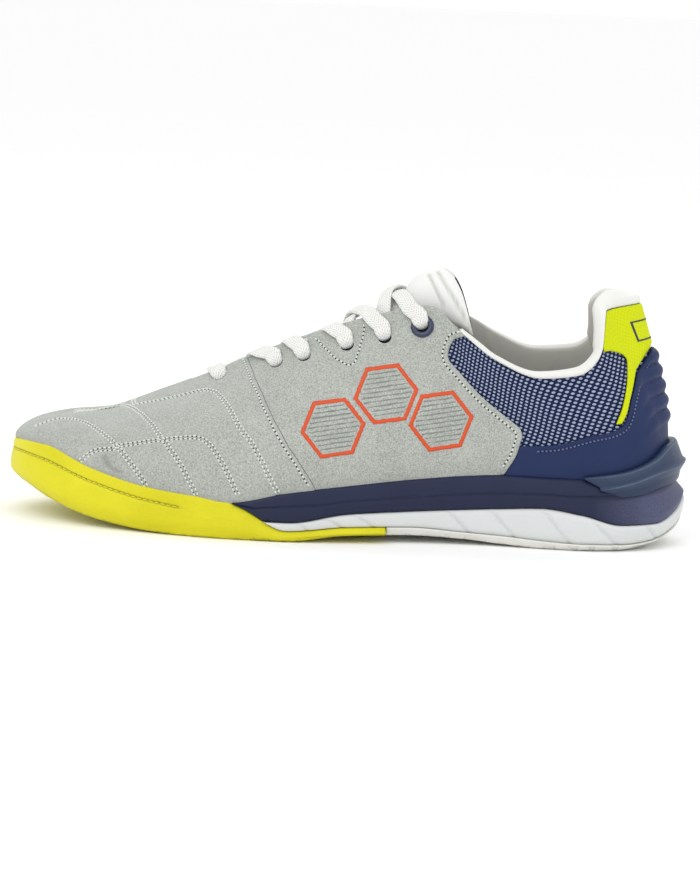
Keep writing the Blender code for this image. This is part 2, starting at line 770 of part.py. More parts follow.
# The collar's lining by place: how thick it is, how high it stands over the edge, and where it ends inside
LINING = (
    # place, pad, roll (shares of the pad and roll sizes), low climb
    (10.80, 0.35, 0.30, 0.62),
    (11.50, 0.45, 0.30, 0.52),
    (12.50, 0.55, 0.32, 0.46),
    (13.50, 0.65, 0.40, 0.46),
    (14.50, 0.80, 0.60, 0.46),
    (15.50, 0.95, 0.90, 0.50),
    (16.30, 1.00, 1.00, 0.52),
    (17.00, 1.00, 1.00, 0.52),
)
LINING_START = 10.75
LINING_GAP = 0.6 * MM


def lining_section(place):
    near = folded(place)
    pad = COLLAR_PAD * row_value(LINING, near, 1)
    roll = COLLAR_ROLL * row_value(LINING, near, 2)
    low = row_value(LINING, near, 3)
    gap = UPPER_WALL + LINING_GAP
    edge = last_point(place, 1.0)
    up = last_tangent(place, 1.0)
    away = last_normal(place, 1.0)
    shares = (0.25, 0.6)
    levels = [low + (1 - low) * share for share in shares]
    section = [shell_point(place, low, -gap)]
    section += [shell_point(place, level, -gap) for level in levels]
    section += [
        edge - away * gap,
        edge - away * gap + up * LINING_GAP,
        edge + up * LINING_GAP,
        edge + away * 0.5 * MM + up * (LINING_GAP + 0.4 * roll),
        edge - away * 0.15 * pad + up * (LINING_GAP + 0.85 * roll),
        edge - away * (gap + 0.3 * pad) + up * (LINING_GAP + roll),
        edge - away * (gap + 0.8 * pad) + up * (LINING_GAP + 0.6 * roll),
        edge - away * (gap + pad),
    ]
    section += [shell_point(place, level, -(gap + pad)) for level in reversed(levels)]
    section.append(shell_point(place, low, -(gap + 1.0 * MM)))
    return section


# The tongue. Its lower part follows the inside of the upper; its free end has rows of its own.
TONGUE_PLACES = (
    # place, wing climb, bulge over the throat, thickness (shares of the tongue's thickness), share inside the edges
    (4.80, 0.82, 0.00, 0.40, 0.0),
    (5.40, 0.82, 0.00, 0.50, 0.1),
    (5.80, 0.82, 0.00, 0.55, 0.3),
    (6.20, 0.82, 0.00, 0.60, 0.4),
    (6.80, 0.82, 0.00, 0.70, 0.6),
    (7.40, 0.80, 0.10, 0.75, 0.7),
    (8.00, 0.80, 0.20, 0.80, 0.7),
    (8.60, 0.80, 0.40, 0.85, 0.7),
    (9.10, 0.82, 0.60, 0.90, 0.7),
    (9.50, 0.86, 0.85, 0.95, 0.7),
)
TONGUE_END = (
    # along, height, half width, sweep, drop, thickness
    (0.423, 1.035, 0.30, 0.022, 0.100, 1.00),
    (0.411, 1.075, 0.31, 0.036, 0.110, 1.10),
    (0.398, 1.110, 0.35, 0.046, 0.110, 1.15),
    (0.380, 1.135, 0.38, 0.050, 0.110, 1.10),
    (0.365, 1.142, 0.38, 0.050, 0.110, 0.70),
)
TONGUE_THICKNESS = 7 * MM
TONGUE_COLUMNS = 10


def tongue_line(row):
    """Points across the tongue's top face, from its outer edge to its inner edge."""
    place, wing_climb, bulge, _, inside = row
    gap = UPPER_WALL + SEAM_GAP + 0.15 * MM
    line = []
    ends = [shell_point(at, 1.0, -gap) for at in (place, PLACES - place)]
    for share in steps(-1, 1, TONGUE_COLUMNS):
        if abs(share) >= inside:
            climb = 1 - (1 - wing_climb) * (abs(share) - inside) / (1 - inside)
            line.append(shell_point(place if share < 0 else PLACES - place, climb, -gap))
            continue
        across = share / inside
        flat = ends[0] * (1 - across) / 2 + ends[1] * (1 + across) / 2
        line.append(flat + Vector((-0.3, 0, 1)) * (1 - across * across) * (bulge * TONGUE_THICKNESS + 0.4 * MM))
    return line


def tongue_end_line(row):
    along, height, half_width, sweep, drop, _ = row
    line = []
    for share in steps(-1, 1, TONGUE_COLUMNS):
        curve = abs(share) ** 2.2
        line.append(Vector((
            x_at(along) + SHOE_LENGTH * sweep * curve,
            HALF_BALL * half_width * share,
            INSTEP_HEIGHT * (height - drop * curve),
        )))
    return line


def add_tongue(material):
    lines = [tongue_line(row) for row in TONGUE_PLACES] + [tongue_end_line(row) for row in TONGUE_END]
    thick = [row[3] for row in TONGUE_PLACES] + [row[5] for row in TONGUE_END]
    below = []
    for k, line in enumerate(lines):
        lower = []
        for n, point in enumerate(line):
            along = lines[min(k + 1, len(lines) - 1)][n] - lines[max(k - 1, 0)][n]
            across = line[min(n + 1, len(line) - 1)] - line[max(n - 1, 0)]
            away = along.cross(across).normalized()
            if away.z < 0:
                away = -away
            share = abs(2 * n / (len(line) - 1) - 1)
            depth = TONGUE_THICKNESS * thick[k] * (1 - 0.55 * share ** 4)
            lower.append(point - away * depth)
        below.append(lower)
    sections = [line + lower[::-1] for line, lower in zip(lines, below)]
    return add_loft("tongue", sections, material)


# Eyelets from the toe up, on both sides
EYELETS = (
    # place, climb
    (6.20, 0.880),
    (7.16, 0.840),
    (7.60, 0.830),
    (8.28, 0.835),
    (8.88, 0.840),
    (9.66, 0.870),
)
DECK_EDGE = 0.5
DECK_RISE = 1.5 * MM
LACE_START = -0.42
LACE_STOP = 0.96
TOP_LACE_STOP = 0.68
LACE_RISE = 0.45


def eyelet_climb(place):
    return row_value(EYELETS, place, 1)


def eyelet_frame(number, side):
    """Middle and outward direction of an eyelet on the last, side -1 outer and +1 inner."""
    near, climb = EYELETS[number]
    place = near if side < 0 else PLACES - near
    return last_point(place, climb), last_normal(place, climb)


def add_turned(name, centre, axis, profile, closed, material, pieces=16):
    """A turned solid from radii and heights, closed as a ring or ending on its axis."""
    across = axis.orthogonal().normalized()
    over = axis.cross(across)
    sections = []
    for k in range(pieces):
        angle = 2 * math.pi * k / pieces
        way = across * math.cos(angle) + over * math.sin(angle)
        sections.append([centre + way * radius + axis * height for radius, height in profile])
    vertices = [point for section in sections for point in section]
    size = len(profile)
    faces = []
    for k in range(pieces):
        base, beyond = k * size, (k + 1) % pieces * size
        for n in range(size if closed else size - 1):
            after = (n + 1) % size
            faces.append([base + n, base + after, beyond + after, beyond + n])
    if not closed:
        faces.append([k * size for k in range(pieces)])
        faces.append([k * size + size - 1 for k in range(pieces)])
    return add_object(name, vertices, faces, material)


def punch_eyelets(item, numbers, sides, material):
    for number in numbers:
        for side in sides:
            centre, axis = eyelet_frame(number, side)
            reach = 3 * (UPPER_WALL + VAMP_THICKNESS)
            profile = [(EYELET_HOLE_RADIUS, -reach), (EYELET_HOLE_RADIUS, reach)]
            combine(item, add_turned("punch", centre, axis, profile, False, material, pieces=8), "DIFFERENCE")


def add_eyelet(name, side, material):
    centre, axis = eyelet_frame(len(EYELETS) - 1, side)
    base = PANEL_GAP + PANEL_THICKNESS + 2 * CLEARANCE
    inner, outer, top = EYELET_HOLE_RADIUS, EYELET_RING_RADIUS, base + EYELET_RING_HEIGHT
    middle = (inner + outer) / 2
    profile = [(inner, base), (outer, base), (outer - 0.3 * MM, top - 0.4 * MM), (middle, top), (inner, top - 0.5 * MM)]
    return add_turned(name, centre, axis, profile, True, material)


def deck_point(place, across):
    """A point of the surface on which the laces lie. across runs from the outer eyelets at -1 to the inner at 1."""
    lift = PANEL_GAP + VAMP_THICKNESS + 2 * CLEARANCE + LACE_THICKNESS / 2
    share = abs(across)
    if share > DECK_EDGE:
        climb = 1 - (1 - eyelet_climb(place)) * (share - DECK_EDGE) / (1 - DECK_EDGE)
        return shell_point(place if across < 0 else PLACES - place, climb, lift)
    outer, inner = (shell_point(at, 1.0, lift) for at in (place, PLACES - place))
    part = across / DECK_EDGE
    flat = outer * (1 - part) / 2 + inner * (1 + part) / 2
    bulge = TONGUE_THICKNESS * max(0.0, row_value(TONGUE_PLACES, place, 2))
    return flat + Vector((-0.3, 0, 1)) * (1 - part * part) * (bulge + DECK_RISE)


def deck_normal(place, across):
    step = 0.03
    along = deck_point(place + step, across) - deck_point(place - step, across)
    over = deck_point(place, across + step) - deck_point(place, across - step)
    return along.cross(over).normalized()


def lace_sections(path, lift):
    """Flat woven sections along a row of deck places; lift raises the lace where it crosses another."""
    points = []
    for share, (place, across) in zip(steps(0, 1, len(path) - 1), path):
        normal = deck_normal(place, across)
        points.append((deck_point(place, across) + normal * lift * math.sin(math.pi * share), normal))
    half, thin = LACE_WIDTH / 2, LACE_THICKNESS / 2
    outline = [(-half, 0), (-0.75 * half, thin), (0.75 * half, thin), (half, 0), (0.75 * half, -thin), (-0.75 * half, -thin)]
    sections = []
    for k, (point, normal) in enumerate(points):
        ahead = points[min(k + 1, len(points) - 1)][0] - points[max(k - 1, 0)][0]
        wide = normal.cross(ahead).normalized()
        sections.append([point + wide * a + normal * b for a, b in outline])
    return sections


def add_lace_crossing(number, material):
    low = EYELETS[number][0]
    high = EYELETS[number + 1][0]
    stop = TOP_LACE_STOP if number == len(EYELETS) - 2 else LACE_STOP
    strands = []
    for side, lift in ((1, 0.3 * MM), (-1, 0.9 * MM)):
        path = []
        for share in steps(0, 1, 7):
            across = side * (LACE_START + (stop - LACE_START) * share)
            path.append((low + (high - low) * (LACE_RISE + (1 - LACE_RISE) * share), across))
        strands.append(add_loft("lace_crossing_%d" % (number + 1), lace_sections(path, lift), material))
    combine(strands[0], strands[1], "UNION")
    strands[0].name = "lace_crossing_%d" % (number + 1)


def add_laces(material):
    start = EYELETS[0][0]
    path = [(start, across) for across in steps(-LACE_STOP, LACE_STOP, 10)]
    add_loft("lace_bar", lace_sections(path, 0.0), material)
    for number in range(len(EYELETS) - 1):
        add_lace_crossing(number, material)


COLOURS = {
    # name: colour, roughness
    "suede": ((0.50, 0.53, 0.51), 0.9),
    "mesh_fabric": ((0.035, 0.05, 0.15), 0.8),
    "counter_gloss": ((0.03, 0.045, 0.16), 0.4),
    "neon_mesh": ((0.68, 0.85, 0.03), 0.6),
    "lining": ((0.75, 0.75, 0.72), 0.9),
    "tongue_fabric": ((0.83, 0.86, 0.82), 0.8),
    "insole_foam": ((0.55, 0.56, 0.55), 0.9),
    "midsole_navy": ((0.03, 0.03, 0.11), 0.6),
    "stabilizer_teal": ((0.055, 0.075, 0.12), 0.5),
    "midsole_white": ((0.80, 0.82, 0.82), 0.6),
    "rubber_yellow": ((0.80, 0.78, 0.03), 0.5),
    "rubber_white": ((0.80, 0.80, 0.77), 0.5),
    "eyelet_navy": ((0.02, 0.025, 0.09), 0.4),
    "lace_white": ((0.82, 0.82, 0.80), 0.8),
}


def add_sole(materials):
    places = stations_between(0, OUTSOLE_SPLIT)
    add_loft("outsole_forefoot", [forefoot_section(p) for p in places], materials["rubber_yellow"], first_cap=False)
    split = OUTSOLE_SPLIT + 0.028
    places = stations_between(split, LAST_ROW)
    add_loft("outsole_heel", [heel_outsole_section(p) for p in places], materials["rubber_white"], last_cap=False)
    places = stations_between(LOWER_MIDSOLE_TIP, LAST_ROW)
    add_loft("lower_midsole", [lower_midsole_section(p) for p in places], materials["midsole_white"], last_cap=False)
    add_midsole(materials["midsole_navy"])
    places = steps(STABILIZER_TIP, PLACES - STABILIZER_TIP, 32)
    add_loft("heel_stabilizer", [stabilizer_section(p) for p in places], materials["stabilizer_teal"])
    places = stations_between(0, LAST_ROW)
    add_loft("insole", [insole_section(p) for p in places], materials["insole_foam"], first_cap=False, last_cap=False)


def centre_on_ground():
    """Moves the solids so that the origin is on the ground under the middle of their box."""
    meshes = [item.data for item in bpy.data.objects if item.type == "MESH"]
    corners = [vertex.co for mesh in meshes for vertex in mesh.vertices]
    low = [min(corner[axis] for corner in corners) for axis in range(3)]
    high = [max(corner[axis] for corner in corners) for axis in range(3)]
    shift = Vector(((low[0] + high[0]) / -2, (low[1] + high[1]) / -2, -low[2]))
    for mesh in meshes:
        mesh.transform(Matrix.Translation(shift))


def main():
    clear_scene()
    materials = {name: make_material(name, *look) for name, look in COLOURS.items()}
    add_sole(materials)
    every = range(len(EYELETS))
    upper = add_upper(materials["mesh_fabric"])
    punch_eyelets(upper, every, (-1, 1), materials["mesh_fabric"])
    add_tongue(materials["tongue_fabric"])
    toe_panel = add_toe_panel(materials["suede"])
    punch_eyelets(toe_panel, every[:1], (-1, 1), materials["suede"])
    for name, side in (("side_panel_outer", -1), ("side_panel_inner", 1)):
        panel = add_side_panel(name, side > 0, materials["suede"])
        punch_eyelets(panel, every[1:], (side,), materials["suede"])
    add_eyelet("eyelet_outer", -1, materials["eyelet_navy"])
    add_eyelet("eyelet_inner", 1, materials["eyelet_navy"])
    add_laces(materials["lace_white"])
    add_counter(materials["counter_gloss"])
    add_tab(materials["neon_mesh"])
    places = stations_between(LINING_START, LAST_ROW)
    places += [PLACES - place for place in places[-2::-1]]
    add_loft("collar_lining", [lining_section(p) for p in places], materials["lining"])
    centre_on_ground()


main()
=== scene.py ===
import math

import bmesh
import bpy
import numpy as np
from mathutils import Matrix, Vector
from mathutils.kdtree import KDTree


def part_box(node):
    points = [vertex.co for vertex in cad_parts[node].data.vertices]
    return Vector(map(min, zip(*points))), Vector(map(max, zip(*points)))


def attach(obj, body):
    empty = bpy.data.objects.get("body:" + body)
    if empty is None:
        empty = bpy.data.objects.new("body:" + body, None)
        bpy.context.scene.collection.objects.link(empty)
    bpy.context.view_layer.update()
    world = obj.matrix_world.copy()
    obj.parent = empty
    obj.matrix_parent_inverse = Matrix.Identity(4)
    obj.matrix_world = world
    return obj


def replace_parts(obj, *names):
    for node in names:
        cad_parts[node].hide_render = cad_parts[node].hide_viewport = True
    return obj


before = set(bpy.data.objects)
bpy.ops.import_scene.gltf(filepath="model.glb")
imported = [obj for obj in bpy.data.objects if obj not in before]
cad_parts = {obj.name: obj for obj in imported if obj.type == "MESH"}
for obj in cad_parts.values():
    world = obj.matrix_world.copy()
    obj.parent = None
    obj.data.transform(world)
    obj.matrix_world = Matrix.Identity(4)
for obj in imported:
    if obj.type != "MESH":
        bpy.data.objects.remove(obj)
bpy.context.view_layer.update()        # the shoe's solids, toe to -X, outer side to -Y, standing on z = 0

MM = 0.001

# The last, as the solids have it
SHOE_LENGTH = 290 * MM
BALL_WIDTH = 97 * MM
INSTEP_HEIGHT = 98 * MM
HEEL_HEIGHT = 99.5 * MM
SOLE_HEIGHT = 30 * MM
SOLE_FLARE = 10 * MM

# Thicknesses
UPPER_WALL = 1.6 * MM
PANEL_THICKNESS = 1.2 * MM
VAMP_THICKNESS = 1.6 * MM
COUNTER_THICKNESS = 1.5 * MM
TAB_THICKNESS = 0.8 * MM
CLEARANCE = 0.3 * MM
COLLAR_PAD = 6.5 * MM
COLLAR_ROLL = 6 * MM
RIB_HEIGHT = 1.5 * MM
RIB_COUNT = 5
EYELET_HOLE_RADIUS = 2.5 * MM
EYELET_RING_RADIUS = 4.9 * MM
LACE_WIDTH = 7 * MM
LACE_THICKNESS = 2.1 * MM
SEAM_GAP = 0.35 * MM
PANEL_GAP = 0.55 * MM
LINING_GAP = 0.6 * MM
TONGUE_THICKNESS = 7 * MM

# How far the faces of the side panels and of the toe panel stand off the last
SIDE_FACE = PANEL_GAP + PANEL_THICKNESS
TOE_FACE = PANEL_GAP + VAMP_THICKNESS

# The bottom edge of the upper seen from above, from the tip of the toe to the back of the heel.
# along: share of the shoe's length, counted from the back. side: share of half the ball width, + to the inner side.
FOOTPRINT = (
    # outer along, outer side, inner along, inner side
    (0.986, 0.186, 0.986, 0.186),
    (0.971, -0.144, 0.974, 0.474),
    (0.931, -0.433, 0.938, 0.711),
    (0.866, -0.670, 0.872, 0.887),
    (0.783, -0.845, 0.790, 0.990),
    (0.707, -0.948, 0.707, 1.010),
    (0.659, -0.985, 0.659, 0.979),
    (0.576, -0.975, 0.576, 0.876),
    (0.493, -0.880, 0.493, 0.726),
    (0.403, -0.763, 0.403, 0.629),
    (0.328, -0.701, 0.328, 0.598),
    (0.266, -0.680, 0.266, 0.619),
    (0.210, -0.680, 0.210, 0.639),
    (0.155, -0.670, 0.155, 0.639),
    (0.105, -0.598, 0.105, 0.577),
    (0.066, -0.443, 0.066, 0.423),
    (0.043, -0.237, 0.043, 0.227),
    (0.0345, 0.000, 0.0345, 0.000),
)

# The upper's top edge at the same places: the ridge of the toe box, the sides of the throat, then the collar.
# ridge: its middle as a share of half the ball width. gap: half the opening, as the same share, on each side.
# height: share of the instep height, or of the heel height as heel part grows from 0 to 1, on each side.
TOPLINE = (
    # along, ridge, outer gap, inner gap, outer height, inner height, heel part
    (0.865, 0.175, 0.000, 0.000, 0.430, 0.430, 0.0),
    (0.865, 0.175, 0.000, 0.000, 0.430, 0.430, 0.0),
    (0.865, 0.175, 0.000, 0.000, 0.430, 0.430, 0.0),
    (0.850, 0.175, 0.000, 0.000, 0.442, 0.442, 0.0),
    (0.810, 0.165, 0.000, 0.000, 0.492, 0.492, 0.0),
    (0.762, 0.145, 0.000, 0.000, 0.553, 0.553, 0.0),
    (0.707, 0.115, 0.060, 0.060, 0.627, 0.612, 0.0),
    (0.631, 0.075, 0.196, 0.196, 0.745, 0.715, 0.0),
    (0.541, 0.040, 0.258, 0.258, 0.862, 0.826, 0.0),
    (0.452, 0.015, 0.300, 0.300, 0.954, 0.930, 0.0),
    (0.386, 0.000, 0.355, 0.355, 1.000, 1.000, 0.0),
    (0.338, 0.000, 0.500, 0.500, 0.895, 0.925, 0.1),
    (0.286, 0.000, 0.580, 0.570, 0.785, 0.840, 0.3),
    (0.224, 0.000, 0.608, 0.590, 0.720, 0.775, 0.5),
    (0.167, 0.000, 0.585, 0.570, 0.738, 0.785, 0.7),
    (0.1375, 0.000, 0.540, 0.530, 0.840, 0.850, 0.9),
    (0.1345, 0.000, 0.410, 0.400, 1.000, 0.985, 1.0),
    (0.082, 0.000, 0.000, 0.000, 1.025, 1.025, 1.0),
)

# How each curve climbs: rise and fall are shares of its height, at the sole and at the top edge, swell is a share of
# half the ball width, and reach is a share of the way from the top edge out to the sole's edge.
CLIMB = (
    # outer rise, outer swell, outer reach, outer fall, inner rise, inner swell, inner reach, inner fall
    (0.34, -0.040, 0.58, 0.18, 0.34, -0.040, 0.58, 0.18),
    (0.40, -0.025, 0.58, 0.11, 0.42, -0.020, 0.58, 0.11),
    (0.52, 0.000, 0.58, 0.05, 0.56, 0.005, 0.58, 0.05),
    (0.62, 0.030, 0.56, 0.02, 0.68, 0.030, 0.56, 0.02),
    (0.60, 0.040, 0.55, -0.02, 0.68, 0.040, 0.52, -0.02),
    (0.57, 0.050, 0.55, 0.00, 0.64, 0.040, 0.52, 0.00),
    (0.54, 0.050, 0.54, 0.06, 0.60, 0.030, 0.50, 0.08),
    (0.50, 0.040, 0.54, 0.16, 0.55, 0.020, 0.50, 0.18),
    (0.46, 0.030, 0.54, 0.24, 0.50, 0.010, 0.50, 0.26),
    (0.42, 0.030, 0.55, 0.30, 0.46, 0.010, 0.52, 0.32),
    (0.38, 0.030, 0.48, 0.32, 0.42, 0.015, 0.48, 0.34),
    (0.35, 0.035, 0.34, 0.34, 0.38, 0.025, 0.34, 0.34),
    (0.34, 0.040, 0.30, 0.34, 0.35, 0.035, 0.30, 0.34),
    (0.33, 0.050, 0.26, 0.34, 0.34, 0.045, 0.26, 0.34),
    (0.32, 0.060, 0.26, 0.34, 0.33, 0.055, 0.26, 0.34),
    (0.32, 0.065, 0.30, 0.34, 0.32, 0.060, 0.30, 0.34),
    (0.34, 0.070, 0.40, 0.34, 0.34, 0.065, 0.40, 0.34),
    (0.36, 0.075, 0.50, 0.32, 0.36, 0.075, 0.50, 0.32),
)

# The sole's side at the same places. Heights are shares of the sole's height, and the ways out from the upper's
# bottom edge are shares of the sole's flare.
SOLE_SIDE = (
    # bite, footbed, crease, lip, ledge, ground | rim out, crease out, lip out, ledge out, ground out
    (1.067, 0.633, 0.933, 0.700, 0.583, 0.433, 0.27, 0.30, 0.40, 0.34, -0.20),
    (1.100, 0.617, 0.930, 0.690, 0.567, 0.417, 0.27, 0.30, 0.40, 0.34, -0.15),
    (1.080, 0.550, 0.880, 0.600, 0.450, 0.293, 0.27, 0.30, 0.40, 0.36, -0.05),
    (0.850, 0.433, 0.700, 0.450, 0.300, 0.127, 0.28, 0.32, 0.40, 0.38, 0.10),
    (0.655, 0.350, 0.540, 0.340, 0.200, 0.027, 0.28, 0.34, 0.40, 0.40, 0.15),
    (0.575, 0.333, 0.470, 0.300, 0.170, 0.000, 0.28, 0.34, 0.40, 0.40, 0.15),
    (0.520, 0.350, 0.430, 0.290, 0.165, 0.000, 0.28, 0.34, 0.40, 0.40, 0.15),
    (0.693, 0.433, 0.500, 0.270, 0.150, 0.000, 0.28, 0.36, 0.36, 0.34, 0.12),
    (0.800, 0.567, 0.540, 0.400, 0.210, 0.090, 0.28, 0.42, 0.32, 0.28, 0.08),
    (0.905, 0.717, 0.610, 0.455, 0.225, 0.107, 0.28, 0.45, 0.32, 0.28, 0.08),
    (0.975, 0.817, 0.650, 0.500, 0.180, 0.080, 0.28, 0.47, 0.38, 0.34, 0.14),
    (1.010, 0.850, 0.700, 0.540, 0.150, 0.030, 0.28, 0.49, 0.46, 0.44, 0.24),
    (1.000, 0.867, 0.740, 0.570, 0.115, 0.000, 0.26, 0.50, 0.54, 0.56, 0.34),
    (1.000, 0.867, 0.760, 0.500, 0.095, 0.000, 0.22, 0.54, 0.66, 0.66, 0.38),
    (1.000, 0.867, 0.790, 0.375, 0.095, 0.000, 0.20, 0.60, 0.82, 0.70, 0.32),
    (1.000, 0.867, 0.870, 0.380, 0.130, 0.033, 0.20, 0.64, 0.92, 0.68, 0.12),
    (1.000, 0.867, 0.915, 0.520, 0.240, 0.107, 0.20, 0.64, 1.00, 0.76, 0.05),
    (1.000, 0.867, 0.940, 0.680, 0.370, 0.167, 0.20, 0.62, 1.06, 0.90, 0.20),
)

# The stabilizer's section by place: ridge out and height above the crease, top's climb and thickness
STABILIZER = (
    # place, ridge out, ridge height, top climb, thickness (out and thickness in shares of the sole's flare)
    (13.0, 0.50, 0.10, 0.020, 0.08),
    (13.5, 0.62, 0.14, 0.045, 0.12),
    (14.0, 0.66, 0.18, 0.070, 0.15),
    (14.5, 0.70, 0.21, 0.100, 0.18),
    (15.0, 0.74, 0.23, 0.130, 0.20),
    (16.0, 0.80, 0.25, 0.170, 0.22),
    (17.0, 0.84, 0.26, 0.180, 0.22),
)
# How strongly a highlight is painted on its ridge and on its top edge
STABILIZER_HIGHLIGHT = {3: 0.6, 5: 0.45}

# Panels on the upper. seam: where the toe panel ends. rear: where the side panel ends.
SIDE_PANEL = (
    # climb, seam place, rear place
    (0.000, 7.45, 10.95),
    (0.055, 7.35, 11.07),
    (0.100, 7.26, 11.18),
    (0.167, 7.15, 11.32),
    (0.250, 7.01, 11.46),
    (0.320, 6.94, 11.60),
    (0.383, 6.88, 11.62),
    (0.420, 6.85, 11.46),
    (0.507, 6.80, 10.88),
    (0.565, 6.78, 10.45),
    (0.643, 6.76, 10.10),
    (0.688, 6.75, 10.05),
    (0.757, 6.74, 10.19),
    (0.873, 6.76, 10.58),
    (1.000, 6.80, 11.10),
)
COUNTER = (
    # place, top climb
    (11.50, 0.233),
    (12.34, 0.302),
    (12.99, 0.380),
    (13.64, 0.438),
    (14.30, 0.458),
    (14.62, 0.474),
    (14.90, 0.516),
    (15.24, 0.560),
    (15.70, 0.590),
    (16.27, 0.636),
    (16.55, 0.676),
    (16.85, 0.716),
    (17.00, 0.728),
)

TAB = (
    # lower place, lower climb, upper place, upper climb
    (14.56, 0.488, 14.40, 0.503),
    (14.85, 0.528, 14.60, 0.545),
    (15.20, 0.572, 14.98, 0.605),
    (15.66, 0.602, 15.40, 0.645),
    (16.00, 0.628, 15.66, 0.676),
    (16.25, 0.650, 15.88, 0.712),
    (16.38, 0.668, 15.84, 0.748),
    (16.48, 0.683, 15.64, 0.805),
    (16.58, 0.698, 15.38, 0.886),
    (16.68, 0.712, 15.10, 0.985),
    (16.78, 0.726, 15.70, 0.990),
    (16.89, 0.738, 16.30, 0.992),
    (17.00, 0.745, 17.00, 0.992),
)

# The collar's lining by place: how thick it is, how high it stands over the edge, and where it ends inside
LINING = (
    # place, pad, roll (shares of the pad and roll sizes), low climb
    (10.90, 0.12, 0.10, 0.62),
    (11.60, 0.45, 0.30, 0.52),
    (12.50, 0.55, 0.32, 0.46),
    (13.50, 0.65, 0.40, 0.46),
    (14.50, 0.60, 0.46, 0.46),
    (15.40, 0.40, 0.30, 0.50),
    (16.00, 0.46, 0.52, 0.52),
    (16.45, 0.95, 1.22, 0.52),
    (17.00, 1.80, 1.00, 0.52),
)

# Which corners of that section face the foot
INSIDE_PARTS = (0, 0, 0, 0, 0, 0, 0, 0, 0, 0.35, 1, 1, 1, 1)
LINING_START = 10.95

# The tongue. Its lower part follows the inside of the upper; its free end has rows of its own.
TONGUE_PLACES = (
    # place, wing climb, bulge over the throat, thickness (shares of the tongue's thickness), share inside the edges
    (4.80, 0.82, 0.00, 0.40, 0.0),
    (5.40, 0.82, 0.00, 0.50, 0.1),
    (5.80, 0.82, 0.00, 0.55, 0.3),
    (6.20, 0.82, 0.00, 0.60, 0.4),
    (6.80, 0.82, -0.25, 0.60, 0.6),
    (7.40, 0.80, -0.35, 0.65, 0.7),
    (8.00, 0.80, -0.35, 0.70, 0.7),
    (8.60, 0.80, -0.15, 0.80, 0.7),
    (9.10, 0.82, 0.70, 0.90, 0.7),
    (9.50, 0.86, 1.00, 0.95, 0.7),
)
TONGUE_END = (
    # along, height, half width, sweep, drop, thickness
    (0.423, 1.055, 0.30, 0.022, 0.130, 1.00),
    (0.412, 1.105, 0.31, 0.036, 0.170, 1.10),
    (0.399, 1.130, 0.35, 0.046, 0.210, 1.10),
    (0.381, 1.150, 0.38, 0.050, 0.250, 0.80),
    (0.369, 1.156, 0.38, 0.048, 0.270, 0.50),
)

# Eyelets from the toe up, on both sides
EYELETS = (
    # place, climb
    (6.20, 0.880),
    (7.16, 0.840),
    (7.60, 0.830),
    (8.28, 0.835),
    (8.88, 0.840),
    (9.66, 0.870),
)
PANEL_FOOT = -0.07

# The climbs at which the solids have corners
SOLID_CLIMBS = (-1, 0, 0.130, 0.270, 0.420, 0.570, 0.710, 0.820, 0.920, 1.0)

# Reading the last


def around(values, place):
    """The four values about each place on a closed row, with the share of the way from the second to the third."""
    values, place = np.asarray(values, float), np.asarray(place, float)
    low = np.floor(place).astype(int)
    return [values[(low + k) % len(values)] for k in (-1, 0, 1, 2)], place - low


def smooth_between(values, place):
    """A closed row of values read at places on it, along a smooth curve through them."""
    (before, here, after, beyond), share = around(values, place)
    return hermite(here, after, (after - before) / 2, (beyond - here) / 2, share)


def steady_between(values, place):
    """As smooth_between, but the curve never passes beyond the values on either side of it."""
    (before, here, after, beyond), share = around(values, place)
    start, end = steady_slope(here - before, after - here), steady_slope(after - here, beyond - after)
    return hermite(here, after, start, end, share)


def steady_slope(left, right):
    """The harmonic mean of the slopes on both sides, or 0 where the curve turns."""
    product = left * right
    return np.where(product > 0, 2 * product / np.where(product > 0, left + right, 1.0), 0.0)


def hermite(here, after, start, end, share):
    """A curve from here to after that leaves with slope start and arrives with slope end."""
    square, cube = share**2, share**3
    ends = here * (2 * cube - 3 * square + 1) + after * (3 * square - 2 * cube)
    return ends + start * (cube - 2 * square + share) + end * (cube - square)


def loop_of(table, outer_column, inner_column):
    """One column read all the way round: the outer side toe to heel, then the inner side heel to toe."""
    outer = [row[outer_column] for row in table]
    inner = [row[inner_column] for row in table]
    return outer + inner[-2:0:-1]


def between_rows(table, key, column):
    """A column of a table read between its rows by the first column."""
    return np.interp(key, [row[0] for row in table], [row[column] for row in table])


LAST_ROW = len(FOOTPRINT) - 1
PLACES = 2 * LAST_ROW
HALF_BALL = BALL_WIDTH / 2
footprint_along = loop_of(FOOTPRINT, 0, 2)
footprint_side = loop_of(FOOTPRINT, 1, 3)
top_along = loop_of(TOPLINE, 0, 0)
top_ridge = loop_of(TOPLINE, 1, 1)
top_gap = [-gap if place < LAST_ROW else gap for place, gap in enumerate(loop_of(TOPLINE, 2, 3))]
top_height = loop_of(TOPLINE, 4, 5)
top_heel_part = loop_of(TOPLINE, 6, 6)
climb_rise = loop_of(CLIMB, 0, 4)
climb_swell = loop_of(CLIMB, 1, 5)
climb_reach = loop_of(CLIMB, 2, 6)
climb_fall = loop_of(CLIMB, 3, 7)
sole_columns = [loop_of(SOLE_SIDE, k, k) for k in range(len(SOLE_SIDE[0]))]
BITE, FOOTBED, CREASE, LIP, LEDGE, GROUND, RIM_OUT, CREASE_OUT, LIP_OUT, LEDGE_OUT, GROUND_OUT = range(11)
moved = np.zeros(3)


def ramp(value, low, high):
    """0 up to low and 1 from high on, with a straight climb between them. low may be the greater one."""
    return np.clip((value - low) / (high - low), 0, 1)


def grid(places, climbs):
    return np.meshgrid(places, climbs, indexing="ij")


def stack(x, y, z):
    return np.stack(np.broadcast_arrays(x, y, z), axis=-1)


def unit(vectors):
    return vectors / np.maximum(np.linalg.norm(vectors, axis=-1, keepdims=True), 1e-12)


